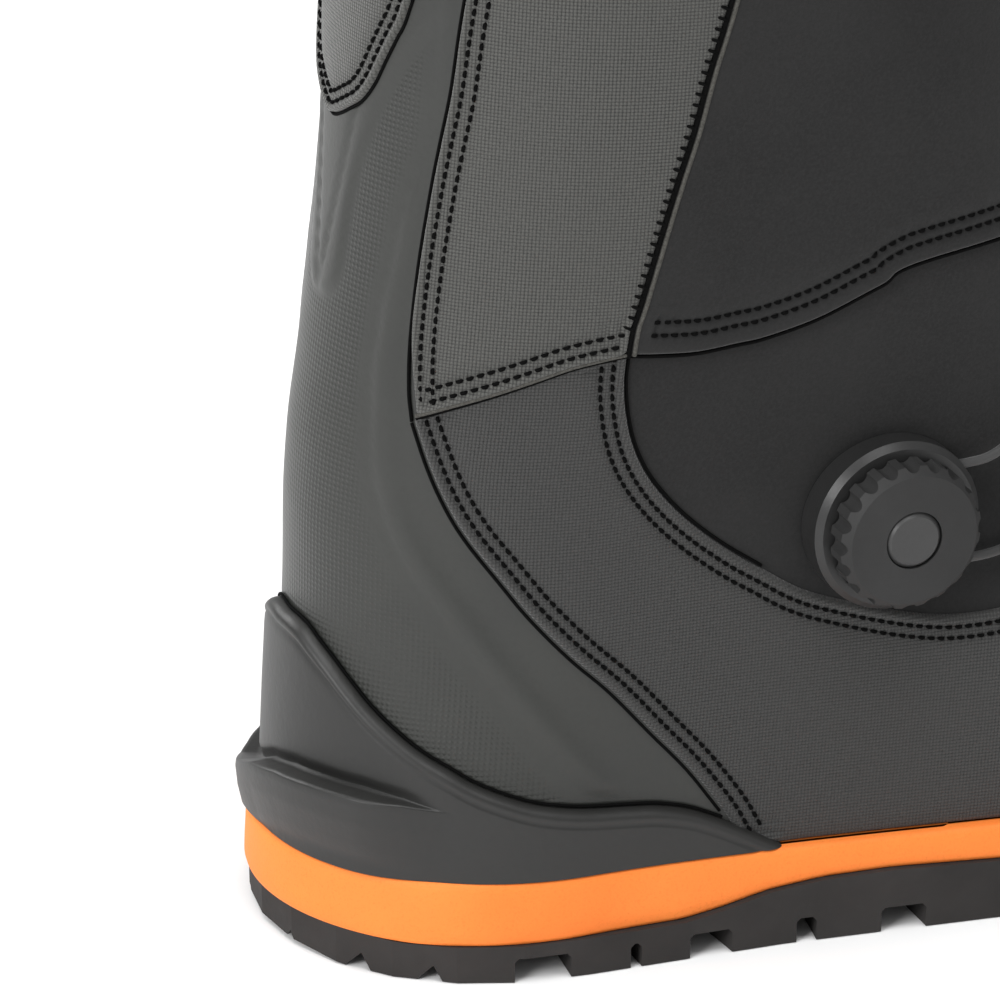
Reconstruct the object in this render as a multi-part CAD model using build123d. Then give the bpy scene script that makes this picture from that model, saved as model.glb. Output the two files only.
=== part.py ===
from build123d import *
import os
from math import acos, cos, hypot, pi, radians, sin, tan

# Soft alpine boot for the right foot, in millimetres.
# +X points to the toe, -Y is the outer (lateral) side, +Z is up.
# The origin is on the ground under the middle of the sole.

# ---------------------------------------------------------------- driving dimensions
# The boot's outer form is a stack of level contours. Each row is:
# height, rear x, front x, heel round, toe round, heel half width, lateral and medial half width in front
FORM = [
    (8, -142, 148, 44, 96, 40, 53, 54),
    (24, -141, 148, 44, 96, 39.5, 53, 54),
    (45, -140, 150, 45, 96, 39, 52.5, 53.5),
    (60, -139.3, 146, 46, 94, 38.5, 50, 51),
    (72, -139, 134, 47, 90, 38.5, 47, 48),
    (84, -138.8, 114, 48, 84, 38.5, 44, 45),
    (98, -137.8, 90, 50, 80, 39.5, 42.5, 43),
    (115, -135.6, 67, 52, 74, 41.5, 43, 43.5),
    (135, -133.3, 46, 53, 68, 44, 45, 45),
    (160, -130.6, 30, 55, 63, 47, 48, 48),
    (190, -128.4, 24, 57, 61, 50, 51, 51),
    (230, -125.5, 25, 59, 61, 54, 54.5, 54.5),
    (300, -120.4, 32, 61, 62, 58, 58.5, 58.5),
]
HEEL_SHARE = 0.30  # share of a half contour that goes round the heel
TOE_SHARE = 0.68  # share after which it goes round the toe
TOE_IN = 6.0  # the toe swings this far to the inner side

SHELL = 2.8  # lasted inner layer of the upper
PANEL = 1.35  # sewn outer panels
OVERLAY = 1.5  # rubber and second layer panels
GAP = 0.15  # between layers
LINER = 5.0  # inner boot, round the foot
LINER_CUFF = 8.5  # inner boot, round the leg
LINING_DEPTH = 7.6  # padded lining of the cuff ends this deep
SOCK_DEPTH = SHELL + 2.1  # outside of the inner boot, round the foot
LEG_DEPTH = LINING_DEPTH + 0.4  # outside of the inner boot, round the leg

OUTSOLE_TOP = 7.4
LUG_DEPTH = 5.0
SOLE_FLARE = 5.2  # the sole stands this far outside the upper

ANKLE = (-82.0, 112.0)  # x, z of the ankle flex axis
COLLAR_REAR = 268.0
COLLAR_FRONT = 292.0
THROAT_FOOT = 100.0  # lowest point of the lacing throat
THROAT_HALF = (19.0, 27.0)  # half width of the throat at its foot and at the collar
TONGUE_CLEAR = 1.2

LACE_R = 0.9
DIAL_R = 14.5
SEAT_R = 17.0
UPPER_DIAL = (-32.0, 216.0)  # x, z of the cuff dial's axis
LOWER_DIAL = (-36.0, 84.0)  # x, z of the ankle dial's axis

BIG = 400.0


# ---------------------------------------------------------------- the boot's form
def monotone(rows, column, at):
    """Smooth value of a column of FORM at a height, with no overshoot between rows."""
    x = [r[0] for r in rows]
    y = [r[column] for r in rows]
    at = min(max(at, x[0]), x[-1])
    h = [b - a for a, b in zip(x, x[1:])]
    d = [(b - a) / w for a, b, w in zip(y, y[1:], h)]
    m = [d[0]]
    for i in range(1, len(x) - 1):
        if d[i - 1] * d[i] <= 0:
            m.append(0.0)
        else:
            w1, w2 = 2 * h[i] + h[i - 1], h[i] + 2 * h[i - 1]
            m.append((w1 + w2) / (w1 / d[i - 1] + w2 / d[i]))
    m.append(d[-1])
    i = max(k for k in range(len(h)) if x[k] <= at)
    t = (at - x[i]) / h[i]
    return (
        (2 * t**3 - 3 * t**2 + 1) * y[i]
        + (t**3 - 2 * t**2 + t) * h[i] * m[i]
        + (3 * t**2 - 2 * t**3) * y[i + 1]
        + (t**3 - t**2) * h[i] * m[i + 1]
    )


def contour_sizes(z, off):
    """Rear x, front x, heel and toe rounds, heel, lateral and medial half widths, grown by off.
    The front is taken off lower down, so that the thickness holds over the sloping instep."""
    rear, _, heel, _, heel_w, lat, med = (monotone(FORM, k, z) for k in range(1, 8))
    front, toe = monotone(FORM, 2, z - off), monotone(FORM, 4, z - off)
    lat, med = monotone(FORM, 6, z - off * 0.5), monotone(FORM, 7, z - off * 0.5)
    return rear - off, front + off * 0.6, heel + off, toe + off * 0.6, heel_w + off, lat + off, med + off


def swing(x):
    """Shift of the centre line to the inner side at x."""
    t = min(max((x - 10) / 140, 0), 1)
    return TOE_IN * t * t * (3 - 2 * t)


def contour_point(z, u, side, off=0.0, side_off=None):
    """Point on the contour at height z: u runs 0 to 1 from the heel to the toe, side is -1 or +1 in Y.
    side_off grows the half widths by another amount than the ends."""
    rear, front, heel, toe, heel_w, lat, med = contour_sizes(z, off)
    if side_off is not None:
        heel_w += side_off - off
        lat += side_off - off
        med += side_off - off
    ball = lat if side < 0 else med
    x0, x1 = rear + heel, front - toe
    if u < HEEL_SHARE:
        a = u / HEEL_SHARE * pi / 2
        x, y = rear + heel * (1 - cos(a)), side * heel_w * sin(a)
    elif u > TOE_SHARE:
        a = (u - TOE_SHARE) / (1 - TOE_SHARE) * pi / 2
        x, y = x1 + toe * sin(a), side * ball * cos(a)
    else:
        c = (u - HEEL_SHARE) / (TOE_SHARE - HEEL_SHARE)
        x, y = x0 + (x1 - x0) * c, side * (heel_w + (ball - heel_w) * c * c * (3 - 2 * c))
    return x, y + swing(x)


SHARES = [0, 0.05, 0.1, 0.15, 0.2, 0.25, 0.30, 0.40, 0.49, 0.58, 0.68, 0.74, 0.80, 0.86, 0.92, 0.96, 1]


def ring(z, off=0.0, at_z=None, side_off=None):
    """Corners of the contour of height z, drawn at height at_z."""
    level = z if at_z is None else at_z
    lateral = [contour_point(z, u, -1, off, side_off) for u in SHARES]
    medial = [contour_point(z, u, 1, off, side_off) for u in SHARES[-2:0:-1]]
    return [Vector(x, y, level) for x, y in lateral + medial]


def facet(*corners):
    return Face(Wire(Polyline(*corners, close=True).edges()))


def stack(rings):
    """Closed solid through rings of corners, in flat triangles."""
    faces = [facet(*rings[0]), facet(*rings[-1])]
    for a, b in zip(rings, rings[1:]):
        for i in range(len(a)):
            j = (i + 1) % len(a)
            faces += [facet(a[i], a[j], b[j]), facet(a[i], b[j], b[i])]
    return Solid(Shell(faces))


def side_y(x, z, off=0.0, side=-1):
    """Y of the boot's side at x and z, between the heel and toe rounds."""
    rear, front, heel, toe, heel_w, lat, med = contour_sizes(z, off)
    ball = lat if side < 0 else med
    x0, x1 = rear + heel, front - toe
    c = min(max((x - x0) / (x1 - x0), 0), 1)
    width = heel_w + (ball - heel_w) * c * c * (3 - 2 * c)
    if x > x1:
        width = ball * (max(1 - ((x - x1) / toe) ** 2, 0)) ** 0.5
    return side * width + swing(x)


def front_x(y, z, off=0.0):
    """X of the boot's front at y and z."""
    _, front, _, toe, _, lat, med = contour_sizes(z, off)
    ball = lat if y < 0 else med
    return front - toe + toe * sin(acos(min(abs(y) / ball, 1)))


BODY_LEVELS = [16, 30, 46, 58, 68, 77, 87, 98, 112, 128, 146, 168, 196, 230, 312]


def body(off):
    """The whole form, grown by off, from under the feather line to above the collar."""
    return stack([ring(z, off) for z in BODY_LEVELS])


def side_prism(points, side=0):
    """The space behind a side view outline in x, z: both sides, or the lateral or medial one only."""
    face = make_face(Plane.XZ * Polyline(*points, close=True))
    if side == 0:
        return extrude(face, BIG / 2, both=True)
    return extrude(face, BIG / 2, dir=(0, side, 0))


def front_prism(points, x_from):
    """The space in front of x_from behind a front view outline in y, z."""
    face = make_face(Plane.YZ * Polyline(*points, close=True))
    return Pos(x_from, 0, 0) * extrude(face, BIG, dir=(1, 0, 0))


def strip(low, high):
    """Side view outline between two lines of x, z points."""
    return low + high[::-1]


def solids_only(shape, smallest=2.0):
    """The solids of a boolean's result, without crumbs."""
    return Compound([s for s in shape.solids() if s.volume > smallest])


NODES = {}


def keep(name, shape):
    """Notes a finished sub-part under its node name."""
    NODES[name] = shape


# ---------------------------------------------------------------- side view lines, x and z
REAR_X, TOE_X = -175.0, 190.0
FEATHER = [(REAR_X, 20.8), (-100, 20.0), (-60, 19.4), (20, 18.5), (120, 19), (TOE_X, 20.6)]
UNDERFOOT = [(x, z + 0.15) for x, z in FEATHER]
LOWER_TOP = [(REAR_X, 102.0), (ANKLE[0], 117.0), (TOE_X, 165.0)]
CUFF_FOOT = [(REAR_X, 110.0), (ANKLE[0], 124.5), (TOE_X, 227.0)]
COLLAR = [(REAR_X, COLLAR_REAR), (-120.0, COLLAR_REAR + 2), (30.0, COLLAR_FRONT), (TOE_X, COLLAR_FRONT + 6)]
LINER_COLLAR = [(x, z + 14) for x, z in COLLAR]
BACKSTAY_EDGE = [
    (-119, 320), (-119, 191), (-122, 166), (-125, 141), (-126.6, 124), (-125.8, 111),
    (-120.5, 94.5), (-112, 80.5), (-99, 64), (-82.5, 46), (-64, 18), (-62, 8),
]
CUFF_FRONT_EDGE = [(-70, 320), (-76.5, 191), (-81, 170), (-86, 149), (-91, 128), (-91, 110)]
PATCH_EDGE = [(-90, 170), (-90, 116), (-87.5, 106), (-80, 94), (-67, 82), (-48, 69), (-22, 62), (2, 66), (18, 80), (26, 98), (28, 170)]
VAMP_EDGE = [(60, 190), (56, 100), (50, 70), (44, 40), (40, 10)]
COUNTER_TOP = [
    (REAR_X, 66.5), (-141.5, 66.5), (-139.4, 61), (-134.6, 52.2), (-127, 45.2), (-117.7, 39.4),
    (-104, 34.3), (-88, 31.8), (-75, 29), (-62, 22), (-58, 18.2), (REAR_X, 18.2),
]
TOE_CAP_EDGE = [(104, 110), (100, 78), (88, 48), (70, 30), (50, 18), (TOE_X, 18), (TOE_X, 110)]

THROAT = [(-6, THROAT_FOOT), (-15, THROAT_FOOT + 4), (-THROAT_HALF[0], THROAT_FOOT + 12), (-THROAT_HALF[1], 320)]
THROAT += [(-y, z) for y, z in THROAT[::-1]]


def throat_prism(grow=0.0):
    """The lacing throat, wider by grow at each edge."""
    outline = [(y + (grow if y > 0 else -grow), z - (grow if z < THROAT_FOOT + 5 else 0)) for y, z in THROAT]
    return front_prism(outline, -45)


# ---------------------------------------------------------------- sole
def sole_slab(low, high, flare_low, flare_high):
    """A slab of the sole's plan between two heights, with its own flare at each."""
    return stack([ring(20, flare_low, low), ring(20, flare_high, high)])


SOLE_LINE = [  # underside of the midsole, x and z
    (REAR_X, 8.3), (-148, 8.2), (-130, OUTSOLE_TOP), (-98, 7.7), (-78, 7.8), (-70, 9.2), (-61, 11.4), (-50, 12.7),
    (-36, 13), (-10, 12), (16, 9), (44, 8), (110, 8), (136, 9.5), (TOE_X, 12.5),
]
SOLE_GROUND = [(REAR_X, 3.2), (-148.5, 1.4), (-139, 0), (98, 0), (126, 1.6), (158, 6.5), (TOE_X, 10)]
HEEL_CENTRE_X = -103.0


def groove(x, y, angle, length, width, depth=LUG_DEPTH):
    """Channel between two lugs, centred on x, y, its length turned by angle from +X."""
    cut = Box(length, width, depth, align=(Align.CENTER, Align.CENTER, Align.MIN))
    cut = chamfer(cut.edges().filter_by(Axis.X).group_by(Axis.Z)[-1], 0.8)
    return Pos(x, y, -0.01) * Rot(0, 0, angle) * cut


def notch(x, y, angle, length, width, depth):
    """V cut across the outsole's edge, one flank steeper than the other."""
    flank = Polyline((-width * 0.35, 0), (width * 0.65, 0), (0, depth), close=True)
    cut = extrude(make_face(Plane.YZ.offset(-length / 2) * flank), length, dir=(1, 0, 0))
    return Pos(x, y, -0.01) * Rot(0, 0, angle) * cut


def tread_grooves():
    """All the channels cut into the outsole's underside."""
    cuts = []
    for side in (-1, 1):
        for angle, width, depth in ((15, 3.6, 2.6), (38.5, 5.6, 3.4), (58, 5.0, 3.2)):
            r = 44.0
            a = radians(angle)
            x, y = HEEL_CENTRE_X - r * cos(a), side * r * sin(a)
            cuts.append(notch(x, y, -side * angle, 24, width, depth))
        for x, width, tilt in ((-106, 11, 6), (-88, 2.2, 0), (-73.5, 8.5, -6), (-52, 4, 10), (-34, 9, 0)):
            cuts.append(groove(x, side * 40, 90 + side * tilt, 28, width))
        for x, width, tilt in ((8, 8, 8), (28, 4, 12), (48, 8, 14), (69, 4, 16), (89, 7, 20)):
            cuts.append(groove(x, side * 46, 90 + side * tilt, 34, width))
        for x, y, angle in ((112, 41, 48), (130, 28, 30), (144, 12, 14)):
            cuts.append(groove(x, side * y, side * angle, 34, 4.5))
    ring = [(-98, 0, 90, 44, 5), (-70, 0, 90, 44, 6), (18, 0, 90, 62, 6), (40, 0, 90, 66, 6), (64, 0, 90, 66, 6), (90, 0, 90, 62, 6)]
    for x, y, angle, length, width in ring:
        cuts.append(groove(x, y, angle, length, width))
    for x0, x1, y in ((-118, -50, 22), (4, 104, 27), (4, 104, 0)):
        for side in (-1, 1) if y else (1,):
            cuts.append(groove((x0 + x1) / 2, side * y, 0, x1 - x0, 5))
    return cuts


def make_sole():
    rough = sole_slab(-1, 16, SOLE_FLARE + 0.5, SOLE_FLARE + 0.8)
    outsole = rough & side_prism(strip(SOLE_GROUND, SOLE_LINE))
    outsole = outsole - Compound(tread_grooves())
    keep("outsole", solids_only(outsole))
    above = [(x, z + 0.05) for x, z in SOLE_LINE]
    slab = sole_slab(5, 22, SOLE_FLARE + 0.4, SOLE_FLARE - 1.4)
    midsole = (slab & side_prism(strip(above, FEATHER))) - Pos(-45, 0, 15.6) * Box(150, 24, 2.4)
    keep("midsole", solids_only(midsole))
    plate = Pos(-45, 0, 15.6) * Box(149, 23, 1.6)
    keep("shank", fillet(plate.edges().filter_by(Axis.Z), 8))


def bed(off, low, high):
    """A layer under the foot, between two heights over the feather line."""
    block = stack([ring(24, off, 10), ring(24, off, 50)])
    return block & side_prism(strip([(x, z + low) for x, z in FEATHER], [(x, z + high) for x, z in FEATHER]))


def make_beds():
    """Board, inner boot's sole and loose footbed."""
    keep("lasting_board", bed(-SHELL - 0.4, 0.3, 3.1))
    keep("liner_sole", bed(-SHELL - 2.4, 3.3, 6.5))
    keep("footbed", bed(-SHELL - 2.4 - LINER - 0.8, 6.7, 10.5))


# ---------------------------------------------------------------- upper, lower half
def make_lower(form):
    throat = throat_prism()
    low = side_prism(strip(UNDERFOOT, LOWER_TOP))
    shell = (form[0] - form[-SHELL]) & low
    keep("foot_shell", solids_only(shell - throat))

    layer = ((form[GAP + PANEL] - form[GAP]) & low) - throat
    rear_zone = side_prism(BACKSTAY_EDGE + [(REAR_X, 8), (REAR_X, 320)])
    vamp_zone = side_prism(VAMP_EDGE + [(TOE_X, 10), (TOE_X, 190)])
    keep("backstay_lower", solids_only(layer & rear_zone))
    keep("vamp", solids_only(layer & vamp_zone))
    middle = layer - rear_zone - vamp_zone
    patch_zone = side_prism(PATCH_EDGE)
    for side, name in ((-1, "lateral"), (1, "medial")):
        half = Pos(0, side * BIG / 2, 0) * Box(2 * BIG, BIG, 2 * BIG)
        mine = middle & half
        keep(f"{name}_ankle_patch", solids_only(mine & patch_zone))
        keep(f"{name}_quarter", solids_only(mine - patch_zone))
    return low


def heel_welt():
    """The ledge round the heel that a crampon's heel lever hooks over. It fades out along the sides."""
    sizes = ((21.0, 3.4, 2.6), (25.5, 7.0, 2.9), (29.0, 8.0, 3.0), (33.2, 7.4, 2.8))
    ledge = stack([ring(24, off, z, side_off) for z, off, side_off in sizes])
    return ledge & Pos(REAR_X, 0, 0) * Box(75, BIG, BIG, align=(Align.MIN, Align.CENTER, Align.CENTER))


def make_overlays(form, low):
    inner, outer = form[2 * GAP + PANEL], form[2 * GAP + PANEL + OVERLAY]
    layer = outer - inner
    counter_zone = side_prism(COUNTER_TOP)
    keep("heel_counter", solids_only(((outer + heel_welt()) - inner) & counter_zone & low))
    toe_zone = side_prism(TOE_CAP_EDGE)
    keep("toe_cap", solids_only(layer & toe_zone & low))

    band = (layer & low & front_prism(wide_throat(15), -30)) - throat_prism(0.2) - toe_zone
    for side, name in ((-1, "lateral"), (1, "medial")):
        half = Pos(0, side * BIG / 2, 0) * Box(2 * BIG, BIG, 2 * BIG)
        keep(f"lower_eyestay_{name}", solids_only(band & half, 60))


def wide_throat(grow):
    """The throat's outline, wider by grow."""
    return [(y + (grow if y > 0 else -grow), z - (grow * 0.5 if z < THROAT_FOOT + 5 else 0)) for y, z in THROAT]


# ---------------------------------------------------------------- upper, cuff
def make_cuff(form):
    throat = throat_prism()
    high = side_prism(strip(CUFF_FOOT, COLLAR))
    keep("cuff_shell", solids_only(((form[0] - form[-SHELL]) & high) - throat))

    layer = ((form[GAP + PANEL] - form[GAP]) & high) - throat
    rear_zone = side_prism(BACKSTAY_EDGE + [(REAR_X, 8), (REAR_X, 320)])
    front_zone = side_prism(CUFF_FRONT_EDGE + [(TOE_X, 110), (TOE_X, 320)])
    keep("backstay_upper", solids_only(layer & rear_zone))
    for side, name in ((-1, "lateral"), (1, "medial")):
        half = Pos(0, side * BIG / 2, 0) * Box(2 * BIG, BIG, 2 * BIG)
        mine = (layer - rear_zone) & half
        keep(f"{name}_cuff_panel", solids_only(mine - front_zone))
        keep(f"{name}_cuff_front", solids_only(mine & front_zone))

    overlay = form[2 * GAP + PANEL + OVERLAY] - form[2 * GAP + PANEL]
    patch = [(0, 163.5), (-7, 166.5), (-14, 174), (-21, 189), (-29, 230), (-30, 320), (30, 320), (29, 230), (21, 189), (14, 174), (7, 166.5)]
    keep("rear_cuff_patch", solids_only(overlay & high & Pos(-40 - BIG, 0, 0) * front_prism(patch, 0)))
    stay_foot = [(REAR_X, 164), (TOE_X, 164)]
    above = side_prism(strip(stay_foot, COLLAR))
    band = (overlay & above & front_prism(wide_throat(15), -20)) - throat_prism(0.2)
    for side, name in ((-1, "lateral"), (1, "medial")):
        half = Pos(0, side * BIG / 2, 0) * Box(2 * BIG, BIG, 2 * BIG)
        keep(f"upper_eyestay_{name}", solids_only(band & half, 60))

    rim = side_prism(strip([(x, z + 0.15) for x, z in COLLAR], [(x, z + 3) for x, z in COLLAR]))
    keep("collar_binding", solids_only(((form[1.7] - form[-3.0]) & rim) - throat))

    lining_top = [(x, z - 4) for x, z in COLLAR]
    lining = (form[-SHELL - 2 * GAP] - form[-LINING_DEPTH]) & side_prism(strip(CUFF_FOOT, lining_top))
    keep("cuff_lining", solids_only(lining - throat_prism(8)))


def make_flex_zone(form):
    """The soft band round the ankle that lets the cuff lean. It is one soft ring, open at the throat."""
    low = [(x, z + 0.2) for x, z in LOWER_TOP]
    high = [(x, z - 0.2) for x, z in CUFF_FOOT]
    band = side_prism(strip(low, high))
    keep("ankle_gusset", solids_only(((form[GAP + PANEL] - form[-SHELL]) & band) - throat_prism()))
    soft = side_prism(strip([(x, z - 0.4) for x, z in LOWER_TOP], [(x, z + 0.6) for x, z in CUFF_FOOT]))
    keep("liner_flex_zone", solids_only((form[-LEG_DEPTH] - form[-LEG_DEPTH - 4]) & soft))


def make_tongue(form):
    layer = form[-0.8] - form[-4.8]
    fit = throat_prism(-TONGUE_CLEAR)
    zones = {
        "tongue_base": strip([(-60, THROAT_FOOT - 22), (TOE_X, THROAT_FOOT - 22)], [(-60, 119), (TOE_X, 162)]),
        "tongue_flex": strip([(-60, 120), (TOE_X, 163)], [(-60, 170), (TOE_X, 170)]),
        "tongue_upper": strip([(-60, 176.5), (TOE_X, 176.5)], [(-60, 304), (TOE_X, 304)]),
    }
    for name, zone in zones.items():
        keep(name, solids_only(layer & fit & side_prism(zone)))
    pad_zone = side_prism(strip([(-60, 179), (TOE_X, 179)], [(-60, 306), (TOE_X, 306)]))
    keep("tongue_padding", solids_only((form[-5.0] - form[-7.4]) & throat_prism(-3.5) & pad_zone))


def make_liner(form):
    sock_zone = side_prism(strip([(x, z + 6.7) for x, z in FEATHER], [(x, z - 1.0) for x, z in LOWER_TOP]))
    keep("liner_foot", solids_only((form[-SOCK_DEPTH] - form[-SOCK_DEPTH - LINER]) & sock_zone))

    wall = form[-LEG_DEPTH] - form[-LEG_DEPTH - LINER_CUFF]
    foot = [(x, z + 1) for x, z in CUFF_FOOT]
    split = [(-60, 182), (TOE_X, 182)]
    half, top = 21.0, 340.0
    slot = front_prism([(-half, 180), (-half - 2, top), (half + 2, top), (half, 180)], -40)
    fit = front_prism([(-half + 0.5, 182), (-half - 1.5, top), (half + 1.5, top), (half - 0.5, 182)], -40)
    keep("liner_cuff", solids_only((wall & side_prism(strip(foot, LINER_COLLAR))) - slot))
    above = side_prism(strip(split, [(x, z + 8) for x, z in LINER_COLLAR]))
    keep("liner_tongue", solids_only(wall & above & fit, 600))


# ---------------------------------------------------------------- lace, guides and dials
def on_shell(t, z, off):
    """Point over the shell at height z: t is 0 at the front, down to -1 or up to 1 round the two sides."""
    x, y = contour_point(z, 1 - abs(t), -1 if t < 0 else 1, off)
    return x, y, z


def cord_path(points):
    """Straight runs joined by arcs as large as the runs allow."""
    v = [Vector(*p) for p in points]
    radii = []
    for a, b, c in zip(v, v[1:], v[2:]):
        turn = radians((b - a).get_angle(c - b))
        radii.append(0.45 * min((b - a).length, (c - b).length) / tan(turn / 2))
    return FilletPolyline(*v, radius=radii), radii


def cord(path, r):
    """Round cord along a path."""
    return sweep(Plane(path @ 0, z_dir=path % 0) * Circle(r), path=path)


LACE_OFF = 5.2  # middle of the lace over the base surface, in the guides


def crossing(z, way):
    """Lace over the tongue, to the medial side if way is 1."""
    stops = [(-0.115, LACE_OFF), (-0.075, 4.6), (0, 3.6), (0.075, 4.6), (0.115, LACE_OFF)]
    return [on_shell(way * t, z, off) for t, off in stops]


def turn(z0, z1, side):
    """Lace turning inside a guide from height z0 to z1."""
    lift = z1 - z0
    stops = [(0.155, 0.12), (0.175, 0.5), (0.155, 0.88)]
    return [on_shell(side * t, z0 + lift * k, LACE_OFF) for t, k in stops]


def feed(centre, sign, stops):
    """Lace from inside a dial's seat to the first guide."""
    x, z = centre
    y = side_y(x, z, 2 * GAP + PANEL) - LACE_LIFT
    z += sign * LACE_MOUTH
    start = [(x + 2, y, z), (x + SEAT_R - 3, y, z), (x + SEAT_R + 3, y + 0.3, z + sign * 0.2)]
    return start + [on_shell(t, h, off) for t, h, off in stops]


def make_lace(name, centre, levels, low_stops, high_stops):
    """One lace zone: out of the dial, to and fro over the tongue through the guides and back."""
    points = feed(centre, -1, low_stops)
    way = 1
    for i, z in enumerate(levels):
        points += crossing(z, way)
        if i < len(levels) - 1:
            points += turn(z, levels[i + 1], way)
        way = -way
    points += feed(centre, 1, high_stops)[::-1]
    path, radii = cord_path(points)
    lace = cord(path, LACE_R)
    print(name, "lace mm", round(path.length), "volume share", round(lace.volume / (pi * LACE_R**2 * path.length), 4))
    print("least arc", round(min(radii), 1))
    keep(f"{name}_lace", lace)
    return cord(path, LACE_R + 0.3)


def guide_block(form, y_near, y_far, z0, z1, side):
    """Moulded lace guide on the eyestay, between two heights."""
    c = 2.5
    outline = [
        (side * y_near, z0), (side * (y_far - c), z0), (side * y_far, z0 + c), (side * y_far, z1 - c),
        (side * (y_far - c), z1), (side * y_near, z1),
    ]
    return (form[GUIDE_OFF + 3.9] - form[GUIDE_OFF]) & front_prism(outline, -24)


GUIDE_OFF = 3.3


def make_guides(form, name, levels, bore):
    """The guides of one lace zone: single ones at the ends of the lateral row, turning ones elsewhere."""
    wide = 4.6
    near = [THROAT_HALF[0] + (THROAT_HALF[1] - THROAT_HALF[0]) * (z - 112) / 208 + 1.5 for z in levels]
    lateral = [guide_block(form, near[0], near[0] + 12, levels[0] - wide, levels[0] + wide, -1)]
    for i in range(1, len(levels) - 1, 2):
        lateral.append(guide_block(form, near[i], near[i] + 19, levels[i] - wide, levels[i + 1] + wide, -1))
    lateral.append(guide_block(form, near[-1], near[-1] + 12, levels[-1] - wide, levels[-1] + wide, -1))
    medial = []
    for i in range(0, len(levels), 2):
        medial.append(guide_block(form, near[i], near[i] + 19, levels[i] - wide, levels[i + 1] + wide, 1))
    for side, blocks in (("lateral", lateral), ("medial", medial)):
        keep(f"{name}_guides_{side}", Compound([s for b in blocks for s in (b - bore).solids() if s.volume > 60]))


def make_keeper(form, bore):
    """Sewn channel that holds both runs of the lower lace to the quarter."""
    zone = side_prism([(8, 78), (20, 84), (16, 121), (4, 115)], -1)
    block = (form[GUIDE_OFF + 3.4] - form[GAP + PANEL + 0.1]) & zone
    keep("lower_lace_keeper", solids_only(block - bore))


def web_loop(line, width, thick, name):
    """Flat webbing folded into a loop, its outline in x, z extruded across its width."""
    left, right = [], []
    for i, (x, z) in enumerate(line):
        (xa, za), (xb, zb) = line[max(i - 1, 0)], line[min(i + 1, len(line) - 1)]
        run = hypot(xb - xa, zb - za)
        nx, nz = -(zb - za) / run * thick / 2, (xb - xa) / run * thick / 2
        left.append((x + nx, z + nz))
        right.append((x - nx, z - nz))
    face = make_face(Plane.XZ * Polyline(*left, *right[::-1], close=True))
    keep(name, extrude(face, width / 2, both=True))


def make_loops(form):
    def rear(z, off):
        return monotone(FORM, 1, z) - off

    over = 2 * GAP + PANEL + OVERLAY + 1.0
    line = [(over, 240), (over, 262), (over, 274), (over + 0.5, 284), (over + 2.5, 289), (over + 5.5, 290.5),
            (over + 8.5, 288), (over + 9, 283), (over + 6.5, 274), (over + 2.6, 264), (over + 2.4, 254), (over + 2.4, 240)]
    web_loop([(rear(z, off), z) for off, z in line], 20, 1.5, "rear_pull_loop")
    line = [(0.4, 274), (0.4, 288), (0.4, 300), (1.6, 306), (4.5, 308), (7.4, 306), (8.0, 301), (5.5, 293), (2.9, 286), (2.8, 274)]
    web_loop([(front_x(0, z) + 0.6 + off, z) for off, z in line], 18, 1.5, "tongue_pull_loop")


def frame_of_dial(centre):
    """Plane on the lateral side with its normal outwards and its origin on the seat's foot."""
    x, z = centre
    y = side_y(x, z, 2 * GAP + PANEL)
    return Plane(origin=(x, y, z), x_dir=(1, 0, 0), z_dir=(0, -1, 0))


SEAT_H = 6.0
SPOOL_R, SPOOL_H = 11.0, 4.0
KNOB_H = 6.2
LACE_LIFT = 3.5  # lace over the dial's foot plane
LACE_MOUTH = 9.8  # lace from the dial's axis
CAP_R = 5.6
STEM_R = 2.4


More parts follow.
